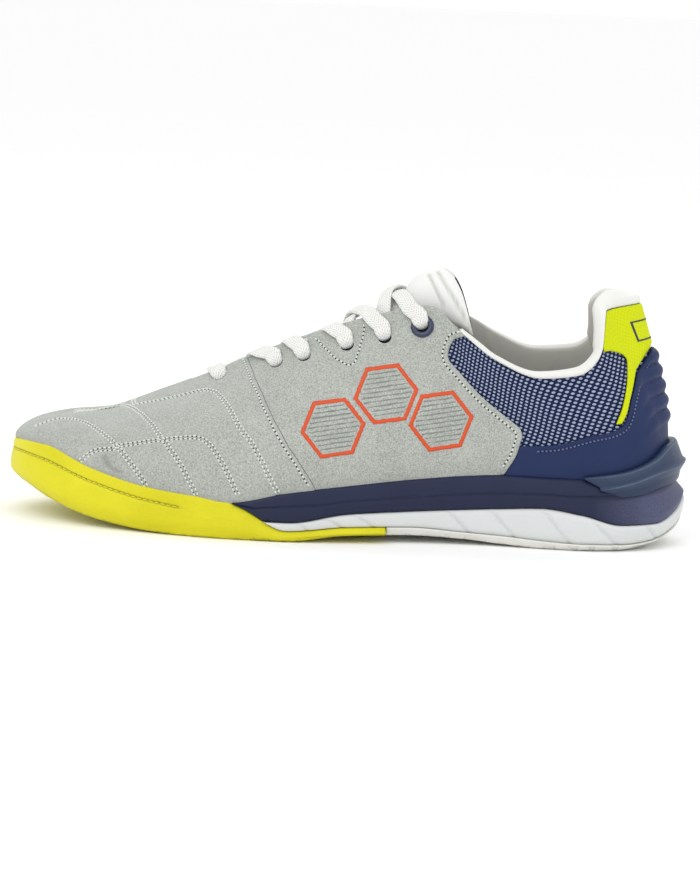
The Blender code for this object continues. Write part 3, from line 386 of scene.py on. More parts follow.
def folded(place):
    """The same place counted on the outer side, from the toe."""
    place = np.asarray(place, float) % PLACES
    return np.minimum(place, PLACES - place)


def sole_height(column, place):
    return SOLE_HEIGHT * steady_between(sole_columns[column], place)


def sole_way_out(column, place):
    return SOLE_FLARE * steady_between(sole_columns[column], place)


def foot_line(place, height):
    """The upper's bottom edge seen from above, before it is moved to where the solids stand."""
    x = SHOE_LENGTH * (0.5 - smooth_between(footprint_along, place))
    return stack(x, HALF_BALL * smooth_between(footprint_side, place), height)


def outward(place):
    """The level direction away from the shoe at that place."""
    run = foot_line(place + 0.02, 0.0) - foot_line(place - 0.02, 0.0)
    return unit(stack(run[..., 1], -run[..., 0], 0.0))


def footprint_point(place, height=0.0, out=0.0):
    """A point on the upper's bottom line at that place, moved outwards by out."""
    place = np.asarray(place, float)
    return foot_line(place, height) + outward(place) * np.asarray(out, float)[..., None] + moved


def top_point(place):
    """The upper's top edge at that place."""
    heel_part = steady_between(top_heel_part, place)
    full = INSTEP_HEIGHT * (1 - heel_part) + HEEL_HEIGHT * heel_part
    x = SHOE_LENGTH * (0.5 - steady_between(top_along, place))
    y = HALF_BALL * (steady_between(top_ridge, place) + steady_between(top_gap, place))
    return stack(x, y, full * steady_between(top_height, place)) + moved


def last_point(place, climb):
    """A point on the upper's outer surface. climb is -1 at its bottom edge, 0 at the sole's edge and 1 at the top."""
    place, climb = np.broadcast_arrays(np.asarray(place, float), np.asarray(climb, float))
    bite = sole_height(BITE, place)
    foot, top = footprint_point(place, bite), top_point(place)
    tall = (top - foot)[..., 2]
    away, up = (foot - top) * np.array((1, 1, 0)), np.array((0, 0, 1.0))
    rise, swell, reach, fall = (
        (steady_between(column, place) * size)[..., None]
        for column, size in ((climb_rise, tall), (climb_swell, HALF_BALL), (climb_reach, 1.0), (climb_fall, tall))
    )
    low_handle, high_handle = foot + outward(place) * swell + up * rise, top + away * reach - up * fall
    part = np.maximum(climb, 0)[..., None]
    rest = 1 - part
    curve = foot * rest**3 + low_handle * (3 * rest**2 * part) + high_handle * (3 * rest * part**2) + top * part**3
    below = np.minimum(climb, 0) * (bite - sole_height(FOOTBED, place) - CLEARANCE)
    return curve + up * below[..., None]


def last_tangent(place, climb):
    """The direction in which the curve climbs."""
    low = np.clip(np.asarray(climb, float) - 0.01, 0, 0.98)
    return unit(last_point(place, low + 0.02) - last_point(place, low))


def plain_normal(place, climb):
    along = last_point(place + 0.04, climb) - last_point(place - 0.04, climb)
    return unit(np.cross(along, last_tangent(place, climb)))


NEAR_TOP = 0.985
POLE_ROW = 2
THROAT_START = 5


def last_normal(place, climb):
    """The direction away from the foot on the upper's outer surface."""
    place, climb = np.broadcast_arrays(np.asarray(place, float), np.asarray(climb, float))
    normal = plain_normal(place, climb)
    normal = np.where((climb <= 0)[..., None], outward(place), normal)
    at_ridge = (climb >= NEAR_TOP) & (folded(place) <= THROAT_START)
    both = unit(plain_normal(place, NEAR_TOP) + plain_normal(-place, NEAR_TOP))
    pole = unit(sum(plain_normal(np.array(k), NEAR_TOP) for k in (0, POLE_ROW * 0.8, -POLE_ROW * 0.8)))
    both = np.where((folded(place) <= POLE_ROW)[..., None], pole, both)
    return np.where(at_ridge[..., None], both, normal)


def shell_point(place, climb, offset):
    place, climb = np.broadcast_arrays(np.asarray(place, float), np.asarray(climb, float))
    return last_point(place, climb) + last_normal(place, climb) * np.broadcast_to(offset, place.shape)[..., None]


def find_shift():
    """How far the solids were moved when they were centred on the ground."""
    low = last_point(*grid(np.arange(0, PLACES, 0.5), SOLID_CLIMBS)).reshape(-1, 3).min(axis=0)
    return np.array((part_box("upper")[0].x - low[0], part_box("upper")[0].y - low[1], 0.0))


moved = find_shift()

# How finely the outer side is tried when a place on it is looked up
PLACE_STEP = 0.05
CLIMB_STEP = 0.0125

# The camera stands where the photograph was taken from. Picture places are in its pixels, 700 by 880.
PICTURE_WIDTH = 700
PICTURE_HEIGHT = 880
LENS = 133.7
SENSOR = 36
CAMERA_DISTANCE = 1.4
CAMERA_TARGET = np.array((1.1, 0.0, 37.0)) * MM
AZIMUTH, ELEVATION, ROLL = (math.radians(k) for k in (1.0, 8.0, 2.55))

level_back = np.array((math.sin(AZIMUTH), -math.cos(AZIMUTH), 0.0))
camera_back = level_back * math.cos(ELEVATION) + np.array((0.0, 0.0, math.sin(ELEVATION)))
level_right = np.array((math.cos(AZIMUTH), math.sin(AZIMUTH), 0.0))
level_up = np.cross(camera_back, level_right)
camera_right = level_right * math.cos(ROLL) + level_up * math.sin(ROLL)
camera_up = level_up * math.cos(ROLL) - level_right * math.sin(ROLL)
camera_place = CAMERA_TARGET + camera_back * CAMERA_DISTANCE


def add_camera():
    camera = bpy.data.objects.new("photo_camera", bpy.data.cameras.new("photo_camera"))
    camera.data.lens = LENS
    camera.data.sensor_width = SENSOR
    camera.data.clip_start = 0.01
    columns = [Vector(k).to_4d() for k in (camera_right, camera_up, camera_back, camera_place)]
    for column in columns[:3]:
        column.w = 0
    camera.matrix_world = Matrix(columns).transposed()
    bpy.context.scene.collection.objects.link(camera)
    bpy.context.scene.camera = camera


def in_picture(points):
    """Where points of the shoe fall in the picture."""
    way = points - camera_place
    scale = -LENS / SENSOR * PICTURE_HEIGHT / (way @ camera_back)
    x, y = scale * (way @ camera_right), scale * (way @ camera_up)
    return np.stack((PICTURE_WIDTH / 2 + x, PICTURE_HEIGHT / 2 - y), axis=-1)


def surface_grid(beyond):
    """Places and climbs over the outer side and that far beyond its end, with the side panel's face there."""
    places, climbs = grid(np.arange(0, LAST_ROW + beyond, PLACE_STEP), np.arange(0, 1.001, CLIMB_STEP))
    return places, climbs, shell_point(places, climbs, SIDE_FACE)


def reader(places, climbs, points, softening):
    """A function that reads place and climb at any points, from the known ones that are nearest."""
    tree = KDTree(len(points))
    for number, point in enumerate(points):
        tree.insert(point, number)
    tree.balance()

    def read(wanted):
        found = []
        for point in wanted:
            near = tree.find_n(point, 4)
            weights = np.array([1 / (distance + softening) ** 2 for _, _, distance in near])
            numbers = [number for _, number, _ in near]
            found.append([(values[numbers] * weights).sum() / weights.sum() for values in (places, climbs)])
        return np.array(found)

    return read


def picture_reader():
    """Reads the part of the outer side that the camera sees, at picture places."""
    places, climbs, points = surface_grid(0.01)
    facing = (last_normal(places, climbs) * camera_back).sum(axis=-1) > 0.0
    dots = in_picture(points)[facing]
    return reader(places[facing], climbs[facing], [(x, y, 0.0) for x, y in dots], 1e-3)


read_picture = picture_reader()


def from_picture(dots):
    """Place and climb of the outer side that show at those picture places."""
    return read_picture([(x, y, 0.0) for x, y in dots])


def smooth_line(dots, closed=False, pieces=8):
    """A smooth line of points through given ones."""
    dots = np.asarray(dots, float)
    count = len(dots)
    line = []
    for k in range(count if closed else count - 1):
        numbers = [(k + n) % count if closed else min(max(k + n, 0), count - 1) for n in (-1, 0, 1, 2)]
        before, here, after, beyond = dots[numbers]
        slopes = (after - before) / 2, (beyond - here) / 2
        line += [hermite(here, after, *slopes, share) for share in np.arange(pieces) / pieces]
    if not closed:
        line.append(dots[-1])
    return np.array(line)


# Making pieces


def finish_shape(name, vertices, faces, finish, uv=None, levels=None, merge=0.001 * MM):
    """A closed piece from corners and faces, with its doubles merged and its faces outwards."""
    mesh = bpy.data.meshes.new(name)
    mesh.from_pydata(np.asarray(vertices).tolist(), [], [list(face) for face in faces])
    if uv is not None:
        layer = mesh.uv_layers.new(name="cloth")
        numbers = np.zeros(len(mesh.loops), int)
        mesh.loops.foreach_get("vertex_index", numbers)
        layer.data.foreach_set("uv", np.asarray(uv, float)[numbers].ravel())
    for attribute, values in (levels or {}).items():
        layer = mesh.attributes.new(attribute, "FLOAT", "POINT")
        layer.data.foreach_set("value", np.asarray(values, float).ravel())
    shape = bmesh.new()
    shape.from_mesh(mesh)
    if merge:
        bmesh.ops.remove_doubles(shape, verts=shape.verts, dist=merge)
        bmesh.ops.dissolve_degenerate(shape, dist=merge, edges=shape.edges)
    bmesh.ops.recalc_face_normals(shape, faces=shape.faces)
    if shape.calc_volume(signed=True) < 0:
        bmesh.ops.reverse_faces(shape, faces=shape.faces)
    shape.to_mesh(mesh)
    shape.free()
    mesh.shade_smooth()
    mesh.materials.append(finish)
    piece = bpy.data.objects.new(name, mesh)
    bpy.context.scene.collection.objects.link(piece)
    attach(piece, "root")
    return piece


def grid_faces(columns, rows, start=0, closed=False, flip=False):
    """Four-sided faces of a grid of corners counted column by column."""
    faces = []
    for c in range(columns if closed else columns - 1):
        for r in range(rows - 1):
            a, b = start + c * rows + r, start + (c + 1) % columns * rows + r
            faces.append((a, a + 1, b + 1, b) if flip else (a, b, b + 1, a + 1))
    return faces


def add_shell(name, outside, inside, finish, closed=False, uv=None, levels=None):
    """A closed wall between an outside and an inside grid of points. A level may be a pair, one for each grid."""
    columns, rows = outside.shape[:2]
    count = columns * rows
    faces = grid_faces(columns, rows, 0, closed) + grid_faces(columns, rows, count, closed, True)

    def rim(a, b):
        return a, b, b + count, a + count

    for c in range(columns if closed else columns - 1):
        a, b = c * rows, (c + 1) % columns * rows
        faces += [rim(b, a), rim(a + rows - 1, b + rows - 1)]
    if not closed:
        last = (columns - 1) * rows
        for r in range(rows - 1):
            faces += [rim(r, r + 1), rim(last + r + 1, last + r)]
    vertices = np.concatenate((outside.reshape(-1, 3), inside.reshape(-1, 3)))
    uv = None if uv is None else np.concatenate((uv.reshape(-1, 2),) * 2)
    pairs = {key: value if isinstance(value, tuple) else (value, value) for key, value in (levels or {}).items()}
    levels = {key: np.concatenate([part.ravel() for part in pair]) for key, pair in pairs.items()}
    return finish_shape(name, vertices, faces, finish, uv, levels)


def add_sweep(name, sections, finish, uv=None, levels=None):
    """A capped piece through a row of closed sections with the same number of corners."""
    count, size = sections.shape[:2]
    faces = []
    for k in range(count - 1):
        base, beyond = k * size, (k + 1) * size
        faces += [(base + n, base + (n + 1) % size, beyond + (n + 1) % size, beyond + n) for n in range(size)]
    faces += [tuple(range(size)), tuple((count - 1) * size + n for n in range(size))]
    uv = None if uv is None else uv.reshape(-1, 2)
    return finish_shape(name, sections.reshape(-1, 3), faces, finish, uv, levels)


def run_lengths(points, axis):
    """Length covered from the first point along an axis of a grid."""
    step = np.linalg.norm(np.diff(points, axis=axis), axis=-1)
    start = np.zeros_like(np.take(step, [0], axis=axis))
    return np.concatenate((start, np.cumsum(step, axis=axis)), axis=axis)


def edge_ways(points, start=True, end=True, bottom=False, top=True):
    """How far each point of a grid lies from the chosen edges."""
    across, up = run_lengths(points, 0), run_lengths(points, 1)
    ways = np.full(points.shape[:2], 1.0)
    for used, way in ((start, across), (end, across[-1:] - across), (bottom, up), (top, up[:, -1:] - up)):
        ways = np.minimum(ways, np.where(used, way, 1.0))
    return ways


def rolled_edge(ways, radius):
    """0 at an edge and 1 inside it, along a quarter of a circle."""
    return np.sqrt(np.maximum(0.0, 1 - (1 - np.minimum(ways / radius, 1)) ** 2))


def close_to_line(points, line, width):
    """1 on a line of points and 0 away from it."""
    flat = points.reshape(-1, points.shape[-1])
    nearest = np.full(len(flat), 1.0)
    for start, end in zip(line, line[1:]):
        way = end - start
        share = np.clip((flat - start) @ way / max(way @ way, 1e-12), 0, 1)
        nearest = np.minimum(nearest, np.linalg.norm(flat - start - share[:, None] * way, axis=-1))
    return np.exp(-((nearest / width) ** 2)).reshape(points.shape[:-1])


def even_points(line, pitch):
    """Points at an even pitch along a line. Columns after the third are read at the same places."""
    lengths = run_lengths(line[:, :3], 0)
    count = max(int(lengths[-1] / pitch), 1)
    marks = (np.arange(count) + 0.5) * lengths[-1] / count
    return np.stack([np.interp(marks, lengths, line[:, k]) for k in range(line.shape[1])], axis=-1)


def copies(name, model, points, ways, ups, finish):
    """Copies of one small model, given as corners and faces, set at points and joined."""
    corners, faces = model
    ways = unit(ways - ups * (ways * ups).sum(axis=-1, keepdims=True))
    placed = points[:, None] + np.asarray(corners, float) @ np.stack((ways, np.cross(ups, ways), ups), axis=1)
    every = [tuple(n + k * len(corners) for n in face) for k in range(len(points)) for face in faces]
    return finish_shape(name, placed.reshape(-1, 3), every, finish, merge=None)


# Finishes


class Level:
    """A number that varies over a surface. Sums, products and so on add Math nodes."""

    def __init__(self, finish, socket):
        self.finish, self.socket = finish, socket

    def worked(self, operation, *values):
        values = [value.socket if isinstance(value, Level) else value for value in values]
        return self.finish.node("ShaderNodeMath", {"operation": operation}, dict(enumerate(values))).level()

    def __add__(self, other):
        return self.worked("ADD", self, other)

    def __radd__(self, other):
        return self.worked("ADD", other, self)

    def __sub__(self, other):
        return self.worked("SUBTRACT", self, other)

    def __rsub__(self, other):
        return self.worked("SUBTRACT", other, self)

    def __mul__(self, other):
        return self.worked("MULTIPLY", self, other)

    def __rmul__(self, other):
        return self.worked("MULTIPLY", other, self)

    def __truediv__(self, other):
        return self.worked("DIVIDE", self, other)

    def fraction(self):
        return self.worked("FRACT", self)

    def size(self):
        return self.worked("ABSOLUTE", self)

    def floor(self):
        return self.worked("FLOOR", self)

    def between(self, low, high, start=0.0, end=1.0):
        """Rises smoothly from start to end as the number goes from low to high."""
        values = {"Value": self.socket, "From Min": low, "From Max": high, "To Min": start, "To Max": end}
        return self.finish.node("ShaderNodeMapRange", {"interpolation_type": "SMOOTHSTEP"}, values).level()

    def about(self, middle, spread):
        """The same number brought to lie about middle, at most that far off."""
        return self.between(0.2, 0.8, middle - spread, middle + spread)


class Made:
    """A node that has been added, with its outputs at hand."""

    def __init__(self, finish, node):
        self.finish, self.node = finish, node

    def level(self, output=0):
        return Level(self.finish, self.node.outputs[output])

    def out(self, output=0):
        return self.node.outputs[output]


class Finish:
    """A material under construction."""

    def __init__(self, name, roughness, **steady):
        self.material = bpy.data.materials.new(name)
        self.material.use_nodes = True
        self.tree = self.material.node_tree
        self.shader = self.tree.nodes["Principled BSDF"]
        self.shader.inputs["Roughness"].default_value = roughness
        for socket, value in steady.items():
            self.shader.inputs[socket.replace("_", " ")].default_value = value
        self.place = self.node("ShaderNodeTexCoord").out("Object")

    def node(self, kind, settings=None, inputs=None):
        node = self.tree.nodes.new(kind)
        for key, value in (settings or {}).items():
            setattr(node, key, value)
        for key, value in (inputs or {}).items():
            if isinstance(value, Level):
                value = value.socket
            if isinstance(value, bpy.types.NodeSocket):
                self.tree.links.new(value, node.inputs[key])
            else:
                node.inputs[key].default_value = value
        return Made(self, node)

    def grain(self, size, detail=2.0, rough=0.5):
        """Noise from 0 to 1 with marks of about that size in metres."""
        values = {"Vector": self.place, "Scale": 1 / size, "Detail": detail, "Roughness": rough}
        return self.node("ShaderNodeTexNoise", None, values).level("Fac")

    def split(self, vector):
        made = self.node("ShaderNodeSeparateXYZ", None, {0: vector})
        return made.level(0), made.level(1), made.level(2)

    def cloth(self):
        """Lengths along and across the piece's own cloth, in metres."""
        return self.split(self.node("ShaderNodeUVMap", {"uv_map": "cloth"}).out())[:2]

    def marked(self, attribute):
        return self.node("ShaderNodeAttribute", {"attribute_name": attribute}).level("Fac")

    def colour(self, amount, low, high):
        """A mix of two colours, each given as numbers or as a socket."""
        return self.node("ShaderNodeMix", {"data_type": "RGBA"}, {0: amount, 6: rgba(low), 7: rgba(high)}).out(2)

    def paint(self, colour, roughness, height, depth, strength):
        """Feeds the shader: colour, roughness where it varies, and relief of that depth in metres."""
        self.tree.links.new(colour, self.shader.inputs["Base Color"])
        if roughness is not None:
            self.tree.links.new(roughness.socket, self.shader.inputs["Roughness"])
        bump = self.node("ShaderNodeBump", None, {"Height": height, "Distance": depth, "Strength": strength})
        self.tree.links.new(bump.out(), self.shader.inputs["Normal"])
        return self.material


def rgba(colour):
    return colour if isinstance(colour, bpy.types.NodeSocket) else (*colour, 1.0)


STUDIO_LIGHT = 1.28  # how bright a white upright surface shows in this studio


def tone(red, green, blue):
    """The paint that shows as this screen colour, 0 to 255, in the studio's light."""
    return tuple(((k / 255 + 0.055) / 1.055) ** 2.4 / STUDIO_LIGHT for k in (red, green, blue))


def suede_finish():
    f = Finish("suede", 0.95, Sheen_Weight=0.15, Sheen_Roughness=0.6, Specular_IOR_Level=0.2)
    nap = f.grain(0.7 * MM, 3, 0.7)
    clouds = f.grain(14 * MM, 3, 0.55)
    specks = f.grain(0.42 * MM, 1, 0.5)
    shade = nap * 0.45 + clouds * 0.1 + specks * 0.45
    base = f.colour(shade.between(0.36, 0.64), tone(154, 158, 151), tone(206, 210, 203))
    base = f.colour(f.marked("wear") * nap.between(0.3, 0.6), base, tone(112, 112, 100))
    return f.paint(base, None, nap * 0.6 + specks * 0.4, 0.25 * MM, 0.55)


MESH_TURN = math.radians(14)
LUG_SIZE = 7.5 * MM


def mesh_pattern(f, pitch, row, width, height):
    """Oval holes of a knitted mesh in staggered rows: 1 in a hole, 0 on the threads."""
    flat, upright = f.cloth()
    along = flat * math.cos(MESH_TURN) + upright * math.sin(MESH_TURN)
    across = upright * math.cos(MESH_TURN) - flat * math.sin(MESH_TURN)
    level = across / row
    shifted = along / pitch + (level.floor() * 0.5).fraction()
    x = (shifted.fraction() - 0.5) * (pitch / width * 2)
    y = (level.fraction() - 0.5) * (row / height * 2)
    radius = x * x + y * y
    return 1 - radius.between(0.55, 1.15)


def navy_mesh_finish():
    f = Finish("navy_mesh", 0.8, Specular_IOR_Level=0.15)
    holes = mesh_pattern(f, 3.5 * MM, 1.3 * MM, 1.85 * MM, 1.12 * MM)
    threads = f.grain(0.5 * MM, 2)
    ground = f.colour(threads, tone(14, 24, 56), tone(30, 42, 84))
    dots = f.colour(threads, tone(136, 150, 182), tone(196, 207, 228))
    cloth = f.colour(threads, tone(196, 196, 188), tone(222, 222, 214))
    base = f.colour(f.marked("inside"), f.colour(holes, ground, dots), cloth)
    return f.paint(base, None, threads * 0.2 - holes * 0.8, 0.35 * MM, 0.8)


def neon_mesh_finish():
    f = Finish("neon_mesh", 0.75, Specular_IOR_Level=0.15)
    holes = mesh_pattern(f, 2.4 * MM, 1.0 * MM, 1.3 * MM, 0.9 * MM)
    threads = f.grain(0.5 * MM, 2)
    ground = f.colour(threads, tone(214, 226, 4), tone(228, 240, 10))
    base = f.colour(holes * 0.7, ground, tone(232, 246, 30))
    return f.paint(base, None, threads * 0.2 - holes * 0.8, 0.25 * MM, 0.6)


def counter_finish():
    f = Finish("navy_film", 0.5, Specular_IOR_Level=0.2)
    grain = f.grain(0.7 * MM, 2)
    clouds = f.grain(18 * MM, 3)
    base = f.colour(grain * 0.4 + clouds * 0.6, tone(24, 40, 80), tone(42, 58, 104))
    return f.paint(base, grain.about(0.5, 0.08), grain, 0.08 * MM, 0.4)


def lining_finish():
    f = Finish("collar_cloth", 0.85, Sheen_Weight=0.25, Sheen_Roughness=0.5)
    weave = f.grain(0.6 * MM, 2)
    shade = weave * 0.5 + f.grain(12 * MM, 2) * 0.5
    roll = f.colour(shade, tone(240, 240, 234), tone(255, 255, 250))
    lining = f.colour(shade, tone(204, 203, 194), tone(226, 225, 216))
    return f.paint(f.colour(f.marked("inside"), roll, lining), None, weave, 0.15 * MM, 0.5)


def tongue_finish():
    f = Finish("tongue_cloth", 0.6, Sheen_Weight=0.15)
    grain = f.grain(0.8 * MM, 2)
    clouds = f.grain(16 * MM, 2)
    base = f.colour(grain * 0.4 + clouds * 0.6, tone(244, 246, 242), tone(255, 255, 253))
    # the tongue's seam grooves get a darker colour as their painted shade
    base = f.colour(f.marked("seam"), base, tone(206, 210, 200))
    return f.paint(base, None, grain, 0.12 * MM, 0.4)


def lace_finish():
    f = Finish("lace_weave", 0.85, Sheen_Weight=0.2)
    along, across = f.cloth()
    lean = across.size()
    ribs = ((along + lean * 0.9) / (1.25 * MM)).fraction()
    ribs = ribs * (1 - ribs) * 4
    rows = (across / (1.0 * MM)).fraction()
    rows = rows * (1 - rows) * 4
    weave = ribs * 0.6 + rows * 0.4
    fuzz = f.grain(0.7 * MM, 3)
    # the valleys between the woven ribs are darker as painted shade; the fuzz is the lace's own uneven tone
    base = f.colour((weave * 0.6 + fuzz * 0.4).between(0.2, 0.7), tone(208, 208, 202), tone(255, 255, 252))
    return f.paint(base, None, weave * 0.8 + fuzz * 0.3, 0.32 * MM, 0.9)


def foam_finish(name, dark, light, roughness, depth=0.05 * MM, shine=0.25, painted_highlight=None):
    f = Finish(name, roughness, Specular_IOR_Level=shine)
    pores = f.grain(0.5 * MM, 2)
    clouds = f.grain(20 * MM, 3)
    base = f.colour(pores * 0.35 + clouds * 0.65, dark, light)
    # a paler colour is painted where the piece is marked, as a highlight
    if painted_highlight is not None:
        base = f.colour(f.marked("painted_highlight") * pores.between(0.25, 0.75, 0.45, 1.0), base, painted_highlight)
    return f.paint(base, pores.about(roughness, 0.08), pores, depth, 0.4)


def tread_finish(name, dark, light, roughness):
    """Rubber with hexagon lugs moulded into its underside, with shade painted into the grooves between them."""
    f = Finish(name, roughness, Specular_IOR_Level=0.25)
    x, y, _ = f.split(f.place)
    _, _, upwards = f.split(f.node("ShaderNodeNewGeometry").out("True Normal"))
    down = (0 - upwards).between(0.55, 0.8)
    flat = f.node("ShaderNodeCombineXYZ", None, {0: x, 1: y, 2: 0.0}).out()
    cells = f.node("ShaderNodeTexVoronoi", {"feature": "DISTANCE_TO_EDGE"}, {"Vector": flat, "Scale": 1 / LUG_SIZE})
    lugs = cells.level("Distance").between(0.05, 0.14)
    pores = f.grain(0.6 * MM, 2)
    clouds = f.grain(25 * MM, 3)
    # painted shade in the grooves between the lugs on the underside
    shade = (pores * 0.3 + clouds * 0.7) * (1 - down * (1 - lugs) * 0.8)
    base = f.colour(shade.between(0.15, 0.75), dark, light)
    return f.paint(base, pores.about(roughness, 0.07), down * lugs + pores * 0.03, 1.2 * MM, 0.8)


def plain_finish(name, dark, light, roughness, size=0.5 * MM, depth=0.05 * MM, **steady):
    f = Finish(name, roughness, **steady)
    grain = f.grain(size, 2)
    return f.paint(f.colour(grain, dark, light), grain.about(roughness, 0.06), grain, depth, 0.5)


FINISHES = {
    "suede": suede_finish(),
    "mesh_fabric": navy_mesh_finish(),
    "neon_mesh": neon_mesh_finish(),
    "counter_gloss": counter_finish(),
    "lining": lining_finish(),
    "tongue_fabric": tongue_finish(),
    "lace_white": lace_finish(),
    "insole_foam": plain_finish("insole_cloth", tone(150, 152, 150), tone(196, 198, 195), 0.9, 0.8 * MM, 0.2 * MM),
    # the navy foam and the heel plastic turn paler where a highlight is painted on them
    "midsole_navy": foam_finish(
        "navy_foam", tone(20, 28, 58), tone(34, 42, 78), 0.46, shine=0.3, painted_highlight=tone(104, 108, 142)
    ),
    "stabilizer_teal": foam_finish(
        "heel_plastic", tone(40, 54, 82), tone(54, 70, 98), 0.4, 0.03 * MM, painted_highlight=tone(130, 146, 170)
    ),
    "midsole_white": foam_finish("white_foam", tone(222, 225, 224), tone(240, 243, 243), 0.55),
    "rubber_yellow": tread_finish("yellow_rubber", tone(220, 212, 14), tone(242, 234, 40), 0.5),
    "rubber_white": tread_finish("pale_rubber", tone(236, 236, 226), tone(252, 252, 246), 0.5),
    "eyelet_navy": plain_finish(
        "eyelet_enamel", tone(20, 32, 62), tone(34, 48, 84), 0.3, 0.9 * MM, 0.02 * MM,
        Coat_Weight=0.3, Coat_Roughness=0.15,
    ),
    "thread": plain_finish("pale_thread", tone(222, 228, 220), tone(248, 252, 244), 0.8),
    "navy_thread": plain_finish("navy_thread", tone(70, 78, 130), tone(120, 128, 176), 0.7),
    "yellow_thread": plain_finish("yellow_thread", tone(214, 204, 30), tone(242, 236, 90), 0.6),
    # dark discs painted as the shadow in needle holes and behind the eyelets
    "needle_hole": plain_finish("needle_shadow", tone(34, 38, 36), tone(60, 64, 60), 0.95),
    "navy_hole": plain_finish("navy_needle_shadow", tone(16, 20, 44), tone(28, 32, 60), 0.95),
    "print": plain_finish("orange_print", tone(218, 70, 12), tone(236, 90, 24), 0.5, 0.6 * MM, 0.06 * MM),
    "label": plain_finish("navy_print", tone(40, 52, 70), tone(56, 68, 88), 0.7),
    "hatch": plain_finish("grey_print", tone(128, 134, 130), tone(150, 156, 152), 0.8),
}

# The upper and its panels

SIDES = (("outer", -1), ("inner", 1))


def on_side(place, side):
    """The same place on the outer side (-1) or the inner side (1)."""
    return place if side < 0 else PLACES - place


def surface_reader():
    """Reads the whole outer side and a little beyond its end, at points in space."""
    places, climbs, points = surface_grid(0.31)
    return reader(places.ravel(), climbs.ravel(), points.reshape(-1, 3), 1e-5)


on_last = surface_reader()


def inset_line(line, way):
    """A line of places and climbs moved sideways over the surface by a length."""
    points = shell_point(line[:, 0], line[:, 1], SIDE_FACE)
    run = np.gradient(points, axis=0)
    return on_last(points + unit(np.cross(last_normal(line[:, 0], line[:, 1]), run)) * way)


# Double rows of stitches on the toe panel, as picture places of the middle of each pair
VAMP_LINES = (
    ((34, 427), (58, 419), (83, 422), (103, 434), (118, 447), (134, 467), (147, 487)),
    ((74, 413), (100, 407), (127, 406), (148, 420), (160, 436), (173, 453), (183, 469), (197, 496)),
    ((134, 405), (171, 398), (200, 391), (215, 392), (228, 406), (239, 426), (252, 444), (263, 464), (278, 494)),
    (
        (80, 461), (94, 451), (112, 449), (120, 446), (140, 443), (161, 440),
        (183, 438), (198, 438), (209, 444), (221, 461), (229, 476), (238, 496),
    ),
)
RIDGE_LINES = (1, 2)
ROW_SPACING = 1.5 * MM
STITCH_PITCH = 1.95 * MM
EYELET_STITCHES = (
    (315, 338), (325, 348), (334, 357), (342, 362), (349, 365),
    (355, 362), (358, 353), (361, 343), (364, 330), (364, 324),
)

# How deep and how wide the stitched lines draw the suede in, and the room round a lace in its eyelet hole
PULL_DEPTH = 0.42 * MM
PULL_WIDTH = 1.5 * MM
HOLE_ROOM = 0.3 * MM
THROAT_DROP = 0.035


def vamp_lines():
    """The stitched lines as places and climbs. Two of them meet those of the other side on the ridge."""
    lines = []
    for number, dots in enumerate(VAMP_LINES):
        line = from_picture(smooth_line(dots, pieces=6))
        if number in RIDGE_LINES:
            line = line[line[:, 1] < 0.97]
            line = np.concatenate(([(line[0][0], 1.0)], line))
        lines.append(line)
    return lines


def seam_place(climb):
    return between_rows(SIDE_PANEL, climb, 1)


def rear_place(climb):
    return between_rows(SIDE_PANEL, climb, 2)


def seam_line(way):
    climbs = np.linspace(0.03, 0.99, 60)
    return inset_line(np.stack((seam_place(climbs), climbs), axis=-1), way)


def rear_edge(climb):
    """The side panel's rear edge, cut along a smooth curve through its rows."""
    smooth = smooth_line([(row[2], row[0]) for row in SIDE_PANEL], pieces=8)
    return np.interp(climb, smooth[:, 1], smooth[:, 0])


def rear_line(way):
    climbs = np.linspace(0.03, 0.97, 90)
    return inset_line(np.stack((rear_edge(climbs), climbs), axis=-1), way)


stitched_lines = vamp_lines()


def on_panel(line, side, offset):
    return shell_point(on_side(line[:, 0], side), line[:, 1], offset)


def quilted(points):
    """How far the suede is drawn in by its stitched lines."""
    pull = np.zeros(points.shape[:2])
    for line in stitched_lines:
        for _, side in SIDES:
            pull = np.maximum(pull, close_to_line(points, on_panel(line, side, TOE_FACE), PULL_WIDTH))
    return pull


def punch(piece, numbers, sides):
    """Cuts the eyelet holes through a panel."""
    for number in numbers:
        for side in sides:
            centre, axis = eyelet_frame(number, side)
            turn = Vector(axis).to_track_quat("Z", "Y").to_euler()
            sizes = {"vertices": 28, "radius": EYELET_HOLE_RADIUS + HOLE_ROOM, "depth": 12 * MM}
            bpy.ops.object.select_all(action="DESELECT")
            bpy.ops.mesh.primitive_cylinder_add(location=centre, rotation=turn, **sizes)
            tool = bpy.context.object
            cut = piece.modifiers.new("hole", "BOOLEAN")
            cut.operation, cut.solver, cut.object = "DIFFERENCE", "EXACT", tool
            bpy.context.view_layer.objects.active = piece
            bpy.ops.object.modifier_apply(modifier="hole")
            bpy.data.objects.remove(tool, do_unlink=True)
    piece.data.shade_smooth()
    return piece


def eyelet_frame(number, side):
    """Middle and outward direction of an eyelet on the last."""
    place, climb = EYELETS[number]
    place = on_side(place, side)
    return last_point(place, climb), last_normal(place, climb)


